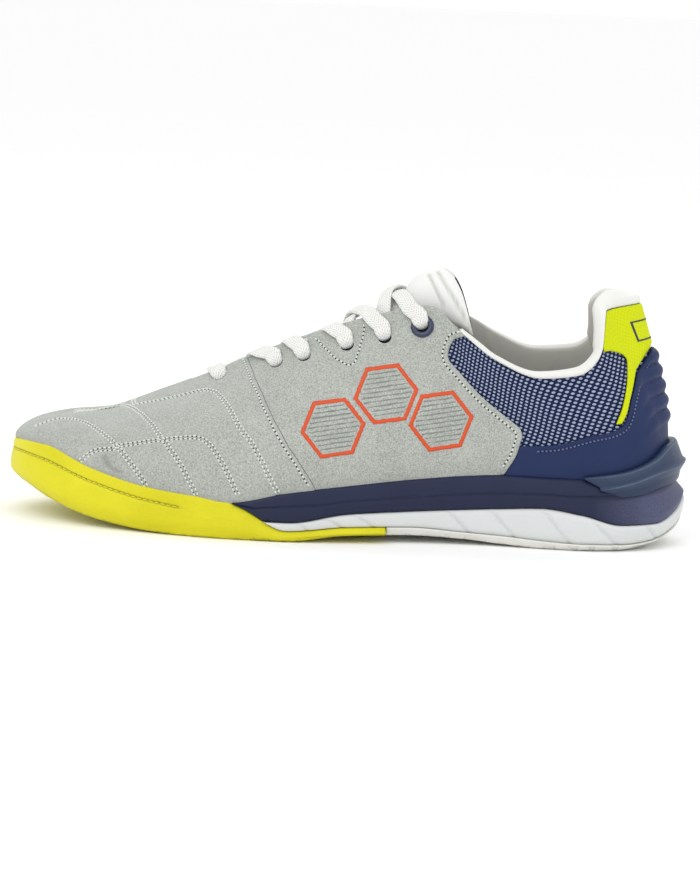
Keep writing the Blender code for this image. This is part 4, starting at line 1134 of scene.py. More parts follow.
def add_upper():
    places, climbs = grid(np.arange(0, PLACES, 0.2), np.concatenate(([-1, -0.5], np.linspace(0, 1, 34))))
    # the mesh ends a little below the panels' edges along the throat
    throat = ramp(folded(places), THROAT_START, THROAT_START + 0.5) * ramp(folded(places), 10.9, 10.5)
    climbs = climbs - THROAT_DROP * throat * ramp(climbs, 0.8, 1.0)
    outside = last_point(places, climbs)
    inside = shell_point(places, climbs, -UPPER_WALL)
    middle = run_lengths(last_point(places, np.full_like(climbs, 0.6)), 0)
    uv = np.stack((middle, run_lengths(outside, 1)), axis=-1)
    facing = {"inside": (np.zeros_like(climbs), np.ones_like(climbs))}
    piece = add_shell("mesh_upper", outside, inside, FINISHES["mesh_fabric"], closed=True, uv=uv, levels=facing)
    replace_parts(piece, "upper")


# Rubbed spots on the toe, as picture places and sizes
SCUFFS = (((104, 458), (109, 466), 1.3 * MM), ((112, 468), (122, 472), 0.9 * MM))


def wear_of(points, climb):
    """How much darker the suede is: scuffs, and a band along the sole."""
    wear = 0.25 * np.exp(-np.maximum(climb, 0) / 0.05)
    for start, end, width in SCUFFS:
        line = on_panel(from_picture((start, end)), -1, TOE_FACE)
        wear = np.maximum(wear, 0.6 * close_to_line(points, line, width))
    return wear


def add_toe_panel():
    shares = np.concatenate((np.linspace(0, 0.99, 166), (0.9935, 0.9965, 0.9985, 1.0)))
    climbs = np.concatenate((np.linspace(PANEL_FOOT, 0.985, 82), (0.993, 1.0)))
    share, climb = grid(np.concatenate((-shares[:0:-1], shares)), climbs)
    place = share * seam_place(climb)
    base = shell_point(place, climb, PANEL_GAP)
    open_top = np.abs(share[:, -1:]) * seam_place(1.0) > THROAT_START + 0.6
    ways = edge_ways(base, top=np.broadcast_to(open_top, share.shape))
    thick = VAMP_THICKNESS * (0.25 + 0.75 * rolled_edge(ways, 1.1 * MM))
    outside = shell_point(place, climb, PANEL_GAP + thick)
    outside = shell_point(place, climb, PANEL_GAP + thick - PULL_DEPTH * quilted(outside))
    piece = add_shell("toe_suede", outside, base, FINISHES["suede"], levels={"wear": wear_of(outside, climb)})
    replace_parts(punch(piece, (0,), (-1, 1)), "toe_panel")


def add_side_panel(name, side):
    shares = np.concatenate(((0, 0.0015, 0.004, 0.008), np.linspace(0.015, 0.985, 120), (0.992, 0.996, 0.9985, 1.0)))
    climbs = np.concatenate((np.linspace(PANEL_FOOT, 0.982, 76), (0.988, 0.993, 0.997, 1.0)))
    share, climb = grid(shares, climbs)
    start = seam_place(climb)
    place = on_side(start + (rear_edge(climb) - start) * share, side)
    base = shell_point(place, climb, PANEL_GAP)
    thick = PANEL_THICKNESS * (0.2 + 0.8 * rolled_edge(edge_ways(base, start=False), 1.0 * MM))
    outside = shell_point(place, climb, PANEL_GAP + thick)
    levels = {"wear": wear_of(outside, climb)}
    piece = add_shell("%s_suede" % name, outside, base, FINISHES["suede"], levels=levels)
    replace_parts(punch(piece, range(1, len(EYELETS)), (side,)), "side_panel_%s" % name)


RIB_START = 0.28
RIB_END = 0.72
RIB_FOOT = 0.3 * MM


def counter_offset(place, climb):
    """Ribs run round the back of the heel and die out to the sides."""
    share = (climb - RIB_START) / (RIB_END - RIB_START)
    rib = np.where((share > 0) & (share < 1), np.abs(np.sin(math.pi * share * RIB_COUNT)), 0.0)
    return COUNTER_THICKNESS - RIB_FOOT + RIB_HEIGHT * ramp(folded(place), 15.2, 16.5) * rib


def counter_top(place):
    """The counter's top edge, as a climb."""
    smooth = smooth_line([row[:2] for row in COUNTER], pieces=6)
    return np.interp(folded(place), smooth[:, 0], smooth[:, 1])


def add_counter():
    half = np.concatenate((np.linspace(0, 0.985, 96), (0.992, 0.996, 1.0)))
    levels = np.concatenate((np.linspace(0, 0.97, 70), (0.98, 0.99, 0.996, 1.0)))
    share, level = grid(np.concatenate((-half[:0:-1], half)), levels)
    front = PANEL_FOOT + (COUNTER[0][1] - PANEL_FOOT) * level
    near = LAST_ROW - (LAST_ROW - rear_place(front)) * np.abs(share)
    place = np.where(share < 0, near, PLACES - near)
    climb = PANEL_FOOT + (counter_top(near) - PANEL_FOOT) * level
    base = shell_point(place, climb, SEAM_GAP)
    thick = counter_offset(place, climb) * (0.3 + 0.7 * rolled_edge(edge_ways(base), 0.9 * MM))
    outside = shell_point(place, climb, SEAM_GAP + thick)
    piece = add_shell("heel_film", outside, base, FINISHES["counter_gloss"])
    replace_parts(piece, "heel_counter")


def add_tab():
    rows = np.array(TAB)
    mirrored = rows[-2::-1].copy()
    mirrored[:, (0, 2)] = PLACES - mirrored[:, (0, 2)]
    rows = smooth_line(np.concatenate((rows, mirrored)), pieces=8)
    share = np.linspace(0, 1, 22)
    place, climb = (rows[:, k : k + 1] + (rows[:, k + 2 : k + 3] - rows[:, k : k + 1]) * share for k in (0, 1))
    climb = np.minimum(climb, 0.995)
    base = shell_point(place, climb, PANEL_GAP)
    thick = TAB_THICKNESS * (0.3 + 0.7 * rolled_edge(edge_ways(base, bottom=True), 0.8 * MM))
    every = np.arange(0, PLACES, 0.05)
    columns = np.interp(place, every, run_lengths(last_point(every, 0.8), 0))
    uv = np.stack((columns, climb * HEEL_HEIGHT * 0.72), axis=-1)
    outside = shell_point(place, climb, PANEL_GAP + thick)
    piece = add_shell("heel_mesh", outside, base, FINISHES["neon_mesh"], uv=uv)
    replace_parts(piece, "heel_tab")


# Collar and tongue

def add_lining():
    places = np.linspace(LINING_START, PLACES - LINING_START, 150)
    near = folded(places)
    pad, roll, low = (size * between_rows(LINING, near, k) for size, k in ((COLLAR_PAD, 1), (COLLAR_ROLL, 2), (1.0, 3)))
    gap = UPPER_WALL + LINING_GAP
    edge, up, away = last_point(places, 1.0), last_tangent(places, np.ones_like(places)), last_normal(places, 1.0)
    first, second = (low + (1 - low) * share for share in (0.25, 0.6))
    behind = ramp(near, 16.0, 16.7)

    def at_edge(out, rise):
        out, rise = (np.broadcast_to(k, places.shape)[:, None] for k in (out, rise))
        return edge + away * out + up * rise

    # up the upper's inside, over its edge, round the roll and down the face towards the foot
    section = [shell_point(places, level, -gap) for level in (low, first, second)]
    section += [
        at_edge(-gap, 0.0),
        at_edge(-0.6 * gap, LINING_GAP),
        at_edge(0.5 * MM, -0.5 * LINING_GAP),
        at_edge(1.3 * MM, LINING_GAP + 0.30 * roll),
        at_edge(-0.15 * pad, LINING_GAP + (0.85 - 0.25 * behind) * roll),
        at_edge(-(gap + 0.3 * pad), LINING_GAP + (1.0 - 0.06 * behind) * roll),
        at_edge(-(gap + 0.8 * pad), LINING_GAP + (0.6 + 0.3 * behind) * roll),
        at_edge(-(gap + pad), 0.25 * behind * roll),
        shell_point(places, second, -(gap + pad * 0.85)),
        shell_point(places, first, -(gap + pad * 0.55)),
        shell_point(places, low, -(gap + 1.0 * MM)),
    ]
    sections = np.stack([smooth_line(points, closed=True, pieces=3) for points in np.stack(section, axis=1)])
    inside = smooth_line(np.array(INSIDE_PARTS)[:, None], closed=True, pieces=3)[:, 0]
    levels = {"inside": np.tile(np.clip(inside, 0, 1), len(sections))}
    piece = add_sweep("collar_pad", sections, FINISHES["lining"], levels=levels)
    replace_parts(piece, "collar_lining")


TONGUE_COLUMNS = 10

# The way in which tongue and laces bulge out of the throat
OUT_OF_THROAT = np.array((-0.3, 0, 1))


def tongue_line(row):
    """Points across the tongue's top face, from its outer edge to its inner edge."""
    place, wing_climb, bulge, _, inside = row
    gap = UPPER_WALL + SEAM_GAP + 0.15 * MM
    ends = [shell_point(at, 1.0, -gap) for at in (place, PLACES - place)]
    line = []
    for share in np.linspace(-1, 1, TONGUE_COLUMNS + 1):
        if abs(share) >= inside:
            climb = 1 - (1 - wing_climb) * (abs(share) - inside) / (1 - inside)
            line.append(shell_point(place if share < 0 else PLACES - place, climb, -gap))
            continue
        across = share / inside
        flat = ends[0] * (1 - across) / 2 + ends[1] * (1 + across) / 2
        rise = (1 - across * across) * (bulge * TONGUE_THICKNESS + 0.4 * MM)
        line.append(flat + OUT_OF_THROAT * rise)
    return line


def tongue_end_line(row):
    """The same across the free end of the tongue."""
    along, height, half_width, sweep, drop, _ = row
    share = np.linspace(-1, 1, TONGUE_COLUMNS + 1)
    x = SHOE_LENGTH * (0.5 - along + sweep * share**2)
    return stack(x, HALF_BALL * half_width * share, INSTEP_HEIGHT * (height - drop * share**4)) + moved


# Seams on the free end of the tongue, as lengths along and up. They are pressed in as grooves, with shade painted into
# them.
TONGUE_SEAMS = (((31, 111), (38, 98)), ((35, 112), (50, 90)))
TONGUE_SEAM_WIDTH = 0.65 * MM
TONGUE_SEAM_DEPTH = 0.6 * MM


def add_tongue():
    lines = np.array([tongue_line(row) for row in TONGUE_PLACES] + [tongue_end_line(row) for row in TONGUE_END])
    thick = np.array([row[3] for row in TONGUE_PLACES] + [row[5] for row in TONGUE_END])
    lines = smooth_line(lines, pieces=6)
    thick = smooth_line(thick[:, None], pieces=6)
    lines = np.stack([smooth_line(line, pieces=4) for line in lines])
    away = unit(np.cross(np.gradient(lines, axis=0), np.gradient(lines, axis=1)))
    away = np.where(away[..., 2:] < 0, -away, away)
    share = np.abs(np.linspace(-1, 1, lines.shape[1]))
    from_end = run_lengths(lines, 0)[-1:] - run_lengths(lines, 0)
    round_off = np.sqrt(np.clip(1 - share**8, 0.02, 1)) * (0.15 + 0.85 * rolled_edge(from_end, 3.5 * MM))
    depth = TONGUE_THICKNESS * thick * (1 - 0.72 * share**4) * round_off
    drop = TONGUE_THICKNESS * 0.5 * (1 - round_off) * thick
    seam = np.zeros(lines.shape[:2])
    for ends in TONGUE_SEAMS:
        line = np.array([(x, 0, z) for x, z in ends]) * MM
        seam = np.maximum(seam, close_to_line(lines * np.array((1, 0, 1)), line, TONGUE_SEAM_WIDTH))
    seam = seam * (share > 0.35)
    top = lines - away * (drop + TONGUE_SEAM_DEPTH * seam)[..., None]
    below = lines - away * (depth + drop)[..., None]
    sections = np.concatenate((top, below[:, ::-1]), axis=1)
    # the seam level carries the painted shade of the grooves
    levels = {"seam": np.concatenate((seam, np.zeros_like(seam)), axis=1)}
    piece = add_sweep("tongue_pad", sections, FINISHES["tongue_fabric"], levels=levels)
    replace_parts(piece, "tongue")


# Laces

DECK_EDGE = 0.5
DECK_LIFT = SIDE_FACE + 0.3 * MM + LACE_THICKNESS / 2
LACE_CORNERS = 18
LACE_SINK = 4.2 * MM
RING_FLATNESS = 0.72

# How far the laces' middle stands above the throat's edges, by place and in millimetres
LACE_RISE = ((6.2, -3.2), (7.6, -4.2), (8.1, -3.0), (8.5, 0.6), (8.9, 3.0), (9.2, 5.2), (9.5, 5.8), (9.7, 6.0))


def deck_point(place, across):
    """A point of the surface on which the laces lie. across runs from the outer eyelets at -1 to the inner at 1."""
    share = np.abs(across)
    climb = 1 - (1 - between_rows(EYELETS, place, 1)) * np.maximum(share - DECK_EDGE, 0) / (1 - DECK_EDGE)
    slope = shell_point(np.where(across < 0, place, PLACES - place), np.minimum(climb, 1.0), DECK_LIFT)
    outer, inner = shell_point(place, 1.0, DECK_LIFT), shell_point(PLACES - place, 1.0, DECK_LIFT)
    part = np.clip(across / DECK_EDGE, -1, 1)[..., None]
    bulge = MM * between_rows(LACE_RISE, place, 1)[..., None]
    flat = outer * (1 - part) / 2 + inner * (1 + part) / 2 + OUT_OF_THROAT * (1 - part**4) * bulge
    return np.where((share > DECK_EDGE)[..., None], slope, flat)


def deck_flats(place, across):
    """The direction that the flat face of a lace looks in on that surface."""
    step = 0.03
    along = deck_point(place + step, across) - deck_point(place - step, across)
    return unit(np.cross(along, deck_point(place, across + step) - deck_point(place, across - step)))


def eased(values, rounds):
    """A line of points drawn tighter, with its ends kept."""
    values = values.copy()
    for _ in range(rounds):
        values[1:-1] = values[1:-1] * 0.5 + (values[:-2] + values[2:]) * 0.25
    return values


def lace_outline():
    turn = np.arange(LACE_CORNERS) / LACE_CORNERS * 2 * math.pi
    a, b = np.cos(turn), np.sin(turn)
    return np.sign(a) * np.abs(a) ** 0.75, np.sign(b) * np.abs(b) ** 0.8


def add_lace(name, middle, ups, widths):
    """A flat woven lace along a line of points."""
    middle, ups, widths = (smooth_line(values, pieces=4) for values in (middle, ups, widths[:, None]))
    ahead = unit(np.gradient(middle, axis=0))
    ups = unit(ups - ahead * (ups * ahead).sum(axis=-1, keepdims=True))
    wide = np.cross(ups, ahead)
    a, b = lace_outline()
    thick = LACE_THICKNESS * np.clip(LACE_WIDTH / widths, 1, 1.3)
    sections = middle[:, None] + wide[:, None] * (widths / 2 * a)[..., None] + ups[:, None] * (thick / 2 * b)[..., None]
    lengths = run_lengths(middle[:, None], 0)
    uv = np.stack(np.broadcast_arrays(lengths, LACE_WIDTH / 2 * a[None]), axis=-1)
    piece = add_sweep(name, sections, FINISHES["lace_white"], uv=uv)
    return piece


def dive(number, side, before):
    """The end of a lace that goes down into its eyelet, with the directions of its flat face and its widths."""
    centre, axis = eyelet_frame(number, side)
    surface = centre + axis * SIDE_FACE
    way = unit(surface - before - axis * ((surface - before) @ axis))
    lift = LACE_THICKNESS / 2 / MM
    # millimetres before the hole's middle, and over the panel
    steps = ((5.0, lift + 0.35), (3.2, lift + 0.45), (1.8, lift + 0.1), (0.8, -0.5), (0.5, -2.4))
    points = [surface - way * back * MM + axis * over * MM for back, over in steps]
    flats = [axis, axis, axis * 0.75 + way * 0.65, axis * 0.25 + way * 0.97, way]
    return np.array(points), np.array(flats), np.array((1.0, 1.0, 0.94, 0.80, 0.64)) * LACE_WIDTH


def lace_ends(points, flats, number, side):
    """A lace cut short before its eyelet and led down into it."""
    tail, tail_flats, tail_widths = dive(number, side, points[-1])
    stop = max(int(np.argmin(np.linalg.norm(points - tail[0], axis=-1))) - 2, 2)
    widths = np.concatenate((np.full(stop, LACE_WIDTH), tail_widths))
    return np.concatenate((points[:stop], tail)), np.concatenate((flats[:stop], tail_flats)), widths


def lace_strand(number, side, over):
    """A lace from under one side of the throat, over the tongue and into the next eyelet of the other side."""
    low, high = EYELETS[number][0], EYELETS[number + 1][0]
    share = np.linspace(0, 1, 26)
    across = side * (-0.50 + 1.42 * share)
    place = low + (high - low) * (1 - 0.92 * (1 - share) ** 1.25)
    flats = deck_flats(place, across)
    rise = (LACE_THICKNESS + 0.5 * MM) * np.exp(-((across / 0.26) ** 2)) if over else 0.0 * across
    sink = LACE_SINK * ramp(share, 0.16, 0.0) ** 1.3
    points = deck_point(place, across) + flats * (rise - sink)[:, None]
    return lace_ends(eased(points, 3), eased(flats, 3), number + 1, side)


def add_laces():
    share = np.linspace(-0.95, 0.95, 41)
    place = np.full_like(share, EYELETS[0][0])
    points, flats = eased(deck_point(place, share), 3), deck_flats(place, share)
    right = lace_ends(points[20:], flats[20:], 0, 1)
    left = lace_ends(points[20::-1], flats[20::-1], 0, -1)
    bar = add_lace("lace_bar_woven", *(np.concatenate((a[:0:-1], b)) for a, b in zip(left, right)))
    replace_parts(bar, "lace_bar")
    for number in range(len(EYELETS) - 1):
        for way, (name, side) in enumerate(SIDES[::-1]):
            over = (number + way) % 2 == 0
            strand = add_lace("lace_%d_%s" % (number + 1, name), *lace_strand(number, side, over))
            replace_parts(strand, "lace_crossing_%d" % (number + 1))


def add_eyelet_shadows():
    """Dark discs painted as the shade of the shoe's inside behind each eyelet hole."""
    frames = [eyelet_frame(number, side) for number in range(len(EYELETS)) for _, side in SIDES]
    centres, axes = (np.array(k) for k in zip(*frames))
    ways = np.cross(axes, np.broadcast_to((0.0, 1.0, 0.0), axes.shape))
    copies("eyelet_insides", hole_model(3.4 * MM), centres + axes * 0.35 * MM, ways, axes, FINISHES["navy_hole"])


def add_eyelet_ring(name, side):
    centre, axis = eyelet_frame(len(EYELETS) - 1, side)
    bpy.ops.object.select_all(action="DESELECT")
    middle = (EYELET_HOLE_RADIUS + EYELET_RING_RADIUS) / 2
    sizes = {"major_radius": middle, "minor_radius": EYELET_RING_RADIUS - middle}
    bpy.ops.mesh.primitive_torus_add(major_segments=64, minor_segments=20, **sizes)
    ring = bpy.context.object
    ring.name = name
    turn = Vector(axis).to_track_quat("Z", "Y").to_matrix().to_4x4()
    place = Matrix.Translation(Vector(centre + axis * (SIDE_FACE + 0.35 * MM)))
    ring.data.transform(place @ turn @ Matrix.Diagonal((1, 1, RING_FLATNESS, 1)))
    ring.data.shade_smooth()
    ring.data.materials.append(FINISHES["eyelet_navy"])
    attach(ring, "root")
    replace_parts(ring, name.replace("ring_", "eyelet_"))


# The sole

BUMPER_END = 5.9
BUMPER_FOOT = 6.95
MIDSOLE_TIP = 6.05
LOWER_MIDSOLE_TIP = 6.6
OUTSOLE_SPLIT = 8.6
STABILIZER_TIP = 13.0
GROOVE_HALF_WIDTH = 0.8 * MM
GROOVE_DEPTH = 1.5 * MM
GROOVE_END = 4.75
GROOVE_DROP = 2.6 * MM
TOE_DIP = 2.0 * MM


def bumper_top(place):
    """Top of the outsole's side: the sole's edge at the toe, then a slope down to the ledge."""
    share = ramp(place, BUMPER_END, BUMPER_FOOT)
    share = share * share * (3 - 2 * share)
    tip = TOE_DIP * ramp(place, 2.2, 0.0) ** 1.5
    return (sole_height(BITE, place) - tip) * (1 - share) + sole_height(LEDGE, place) * share


def rounded_profile(profile, radius, pieces=3):
    """Rows of points, such as heights and ways out, with their corners rounded. The ends stay."""
    parts = [profile[:, :1]]
    for k in range(1, profile.shape[1] - 1):
        corner = profile[:, k]
        cuts = []
        for way in (profile[:, k - 1] - corner, profile[:, k + 1] - corner):
            length = np.maximum(np.linalg.norm(way, axis=-1, keepdims=True), 1e-9)
            cuts.append((corner + way / length * np.minimum(radius, 0.42 * length))[:, None])
        share = np.linspace(0, 1, pieces)[None, :, None]
        parts.append(cuts[0] * (1 - share) ** 2 + corner[:, None] * 2 * share * (1 - share) + cuts[1] * share**2)
    parts.append(profile[:, -1:])
    return np.concatenate(parts, axis=1)


def profile_points(places, profile, side):
    where = on_side(places, side)[:, None] + 0 * profile[..., 0]
    return footprint_point(where, profile[..., 0], profile[..., 1])


def levels_of(*levels):
    """A profile from pairs of height and way out, each a number for every place."""
    return np.stack([np.stack(np.broadcast_arrays(height, out), axis=-1) for height, out in levels], axis=1)


def add_sole_piece(name, places, profile, finish):
    """A piece of the sole with the same profile on both sides."""
    outer, inner = (profile_points(places, profile, side) for _, side in SIDES)
    return add_sweep(name, np.concatenate((outer, inner[:, ::-1]), axis=1), FINISHES[finish])


def fine_places(start, end, step=0.05):
    return np.linspace(start, end, max(int((end - start) / step), 2))


def groove_drop(place):
    """How far the groove falls away from the bumper's edge, from place 1 on."""
    return GROOVE_DROP * np.clip((place - 1) / 3.7, 0, 1.3) ** 1.4


def add_forefoot():
    places = fine_places(0, OUTSOLE_SPLIT)
    ground, bite = sole_height(GROUND, places), sole_height(BITE, places)
    crease = sole_height(CREASE, places) - groove_drop(places)
    ground_out, crease_out, rim_out = (sole_way_out(k, places) for k in (GROUND_OUT, CREASE_OUT, RIM_OUT))
    groove = GROOVE_DEPTH * ramp(places, GROOVE_END, GROOVE_END - 0.1)
    levels = levels_of(
        (ground, ground_out - 6 * MM),
        (ground, ground_out),
        (sole_height(LEDGE, places), sole_way_out(LEDGE_OUT, places)),
        (sole_height(LIP, places), sole_way_out(LIP_OUT, places)),
        (crease - GROOVE_HALF_WIDTH, crease_out + 0.3 * MM),
        (crease, crease_out + 0.2 * MM - groove),
        (crease + GROOVE_HALF_WIDTH, crease_out),
        (bite - 0.2 * MM, rim_out - 0.1 * MM),
        (bite, rim_out - 1.2 * MM),
        (bite, SEAM_GAP + 0 * places),
    )
    levels[..., 0] = squeezed(places[:, None], levels[..., 0])
    inner = levels_of((np.minimum(sole_height(FOOTBED, places), bumper_top(places)), SEAM_GAP + 0 * places))
    radius = (1.6 + 4.5 * ramp(places, 4.0, 0.0))[:, None] * MM
    profile = np.concatenate((rounded_profile(levels, radius, 6), inner), axis=1)
    piece = add_sole_piece("bumper_outsole", places, profile, "rubber_yellow")
    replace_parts(piece, "outsole_forefoot")
    # a row of stitches lies in the groove, all round the toe
    line = np.linspace(0.02, GROOVE_END, 160)
    height = squeezed(line, sole_height(CREASE, line) - groove_drop(line))
    for name, side in SIDES:
        points = footprint_point(on_side(line, side), height, sole_way_out(CREASE_OUT, line) - 0.45 * MM)
        even = even_points(np.concatenate((points, outward(on_side(line, side))), axis=-1), 2.6 * MM)
        sew("bumper_%s" % name, even[:, :3], unit(even[:, 3:]), "yellow_thread", None, 2.1 * MM)


def squeezed(place, height):
    """A height between the ground and the sole's edge, brought down to where the bumper's top lies."""
    ground = sole_height(GROUND, place)
    return ground + (height - ground) * (bumper_top(place) - ground) / (sole_height(BITE, place) - ground)


def add_midsole():
    places = fine_places(MIDSOLE_TIP, PLACES - MIDSOLE_TIP, 0.06)
    near = folded(places)
    bite = sole_height(BITE, near)
    bottom = np.maximum(sole_height(LIP, near), bumper_top(near)) + 0.5 * SEAM_GAP
    bottom = np.minimum(bottom, bite - 0.4 * MM)
    crease = np.maximum(sole_height(CREASE, near), bottom + 0.45 * (bite - bottom))
    crease_out, rim_out, lip_out = (sole_way_out(k, near) for k in (CREASE_OUT, RIM_OUT, LIP_OUT))
    deep = -9 * MM + 0 * near
    levels = levels_of(
        (bottom, deep),
        (bottom, lip_out - 0.9 * MM),
        (bottom + 0.25 * (crease - bottom), lip_out - 0.1 * (lip_out - crease_out)),
        (bottom + 0.75 * (crease - bottom), crease_out + 0.12 * (lip_out - crease_out)),
        (crease, crease_out - 0.7 * MM),
        (crease + 0.12 * (bite - crease), crease_out + 0.35 * MM),
        (bite - 0.12 * (bite - crease), rim_out + 0.15 * (crease_out - rim_out)),
        (bite, rim_out - 0.9 * MM),
        (bite, SEAM_GAP + 0 * near),
        (np.maximum(sole_height(FOOTBED, near), bottom + 0.2 * MM), deep),
    )
    profile = rounded_profile(levels, 0.7 * MM, 3)
    # a highlight is painted on the bulge under the heel, where light reflects off it
    edge = crease[:, None]
    heel_highlight = 0.75 * ramp(near, 13.2, 14.8)[:, None] * ramp(profile[..., 0], edge - 0.6 * MM, edge - 2.1 * MM)
    sections = profile_points(places, profile, -1)
    piece = add_sweep("navy_midsole", sections, FINISHES["midsole_navy"], levels={"painted_highlight": heel_highlight})
    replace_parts(piece, "midsole")


# Slanting grooves in the white side of the sole, from top to bottom, as picture places
SIDE_GROOVES = (
    ((297, 521), (308, 532)),
    ((326, 519), (340, 527)),
    ((361, 519), (373, 527)),
    ((454, 517), (470, 535)),
    ((494, 514), (515, 539)),
    ((544, 512), (568, 542)),
    ((600, 529), (615, 543)),
    ((649, 528), (656, 538)),
)
GROOVE_PICTURE_WIDTH = 1.3
SIDE_GROOVE_DEPTH = 0.8 * MM
PICTURE_UNIT = 1000


def add_lower_midsole():
    places = fine_places(LOWER_MIDSOLE_TIP, LAST_ROW, 0.03)
    bottom = bumper_top(places) + 0.6 * SEAM_GAP
    top = np.maximum(sole_height(LIP, places) - 0.3 * SEAM_GAP, bottom + 0.1 * MM)
    tall = top - bottom
    lip_out, ledge_out = sole_way_out(LIP_OUT, places), sole_way_out(LEDGE_OUT, places)
    levels = [(bottom, ledge_out - 0.9 * MM), (bottom + 0.12 * tall, ledge_out + 0.1 * MM)]
    for share in np.linspace(0.22, 0.86, 8):
        bulge = 0.35 * MM * math.sin(math.pi * share)
        levels.append((bottom + share * tall, ledge_out + (lip_out - ledge_out) * share + bulge))
    levels += [(bottom + 0.96 * tall, lip_out - 0.3 * MM), (top, lip_out - 1.2 * MM), (top, SEAM_GAP + 0 * places)]
    profile = levels_of(*levels)
    dots = in_picture(profile_points(places, profile, -1)) / PICTURE_UNIT
    cut = np.zeros(dots.shape[:2])
    for start, end in np.array(SIDE_GROOVES) / PICTURE_UNIT:
        beyond = 0.35 * (end - start)
        cut = np.maximum(cut, close_to_line(dots, (start - beyond, end + beyond), GROOVE_PICTURE_WIDTH / PICTURE_UNIT))
    profile[:, :-2, 1] -= SIDE_GROOVE_DEPTH * cut[:, :-2]
    piece = add_sole_piece("white_midsole", places, profile, "midsole_white")
    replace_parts(piece, "lower_midsole")


def add_heel_outsole():
    places = fine_places(OUTSOLE_SPLIT + 0.02, LAST_ROW)
    ground, ledge = sole_height(GROUND, places), sole_height(LEDGE, places)
    ground_out, ledge_out = sole_way_out(GROUND_OUT, places), sole_way_out(LEDGE_OUT, places)
    levels = levels_of(
        (ground, ground_out - 5 * MM),
        (ground, ground_out),
        (ground + 0.55 * (ledge - ground), ground_out + 0.75 * (ledge_out - ground_out)),
        (ledge - 0.2 * MM, ledge_out + 0.35 * MM),
        (ledge + 0.15 * MM, ledge_out + 0.1 * MM),
        (ledge + 0.1 * MM, ledge_out - 2 * MM),
    )
    piece = add_sole_piece("heel_rubber", places, rounded_profile(levels, 1.4 * MM, 4), "rubber_white")
    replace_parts(piece, "outsole_heel")


def add_stabilizer():
    places = fine_places(STABILIZER_TIP, PLACES - STABILIZER_TIP, 0.06)
    near = folded(places)
    slant = ramp(near, STABILIZER_TIP + 2.2, STABILIZER_TIP) * np.where(places < LAST_ROW, 1, -1)
    crease, crease_out = sole_height(CREASE, near), sole_way_out(CREASE_OUT, near)
    rim_out = sole_way_out(RIM_OUT, near)
    ridge_out, climb, thick = (
        size * between_rows(STABILIZER, near, k) for size, k in ((SOLE_FLARE, 1), (1.0, 3), (SOLE_FLARE, 4))
    )
    rise = SOLE_HEIGHT * between_rows(STABILIZER, near, 2)
    inner = CLEARANCE + COUNTER_THICKNESS + 0.9 * MM + SEAM_GAP
    gap = 0.5 * MM
    section = np.stack([
        footprint_point(places + slant, crease + gap, crease_out - 1.5 * MM),
        footprint_point(places + slant, crease + 0.2 * gap, crease_out + gap + 0.4 * thick),
        footprint_point(places + 0.75 * slant, crease + 0.5 * rise, (crease_out + ridge_out) / 2 + gap + 0.2 * thick),
        footprint_point(places + 0.4 * slant, crease + rise, ridge_out + 0.62 * thick + 0.7 * MM),
        footprint_point(places + 0.4 * slant, crease + rise + 1.3 * MM, ridge_out + 0.2 * thick - 0.2 * MM),
        shell_point(places, climb, inner + thick),
        shell_point(places, climb + 0.014, inner + 0.5 * thick),
        shell_point(places, climb + 0.004, inner * 0.5),
        footprint_point(places, sole_height(BITE, near) + 0.4 * MM, np.maximum(rim_out - 1.0 * MM, SEAM_GAP)),
    ], axis=1)
    closed = np.concatenate((section[:, -1:], section, section[:, :1]), axis=1)
    sections = rounded_profile(closed, 0.55 * MM)[:, 1:-1]
    # highlights are painted along the ridge and the top edge
    edges = np.outer([STABILIZER_HIGHLIGHT.get(k, 0.0) for k in range(section.shape[1])], (0.25, 1, 0.25)).ravel()
    painted_highlight = edges * ramp(near, STABILIZER_TIP, STABILIZER_TIP + 0.6)[:, None]
    piece = add_sweep("heel_ring", sections, FINISHES["stabilizer_teal"], levels={"painted_highlight": painted_highlight})
    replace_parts(piece, "heel_stabilizer")


# Stitches and prints

# Along a stitch: share of its length, rise and width as shares of its radius
THREAD_STATIONS = ((-0.5, -0.9, 0.55), (-0.32, 0.1, 0.95), (0.0, 0.35, 1.0), (0.32, 0.1, 0.95), (0.5, -0.9, 0.55))
THREAD_RADIUS = 0.38 * MM
NEEDLE_RADIUS = 0.42 * MM


def thread_model(length):
    """A stitch lying along x, sunk at both ends, as corners and faces."""
    corners, faces = [], []
    for share, rise, wide in THREAD_STATIONS:
        for k in range(6):
            y, z = math.cos(k * math.pi / 3) * wide, rise + math.sin(k * math.pi / 3) * wide
            corners.append((share * length, y * THREAD_RADIUS, z * THREAD_RADIUS))
    for s in range(len(THREAD_STATIONS) - 1):
        faces += [(s * 6 + k, s * 6 + (k + 1) % 6, s * 6 + 6 + (k + 1) % 6, s * 6 + 6 + k) for k in range(6)]
    faces += [tuple(range(6))[::-1], tuple(range(len(corners) - 6, len(corners)))]
    return corners, faces


def hole_model(radius):
    """A flat dark disc with a low wall, as corners and faces, painted as the shadow in a hole."""
    turns = np.arange(8) * math.pi / 4
    corners = [(math.cos(turn) * radius, math.sin(turn) * radius, z) for z in (0.05 * MM, -0.3 * MM) for turn in turns]
    faces = [tuple(range(8)), tuple(range(15, 7, -1))] + [(k, k + 8, (k + 1) % 8 + 8, (k + 1) % 8) for k in range(8)]
    return corners, faces


def sew(name, points, ups, thread, hole, length):
    """A row of stitches at points on a surface, with a dark disc painted as the shadow of a needle hole between each
    two.
    """
    ways = unit(np.gradient(points, axis=0))
    copies("%s_stitches" % name, thread_model(length), points, ways, ups, FINISHES[thread])
    if hole:
        between, upwards = (points[1:] + points[:-1]) / 2, unit(ups[1:] + ups[:-1])
        copies("%s_holes" % name, hole_model(NEEDLE_RADIUS), between, ways[1:], upwards, FINISHES[hole])


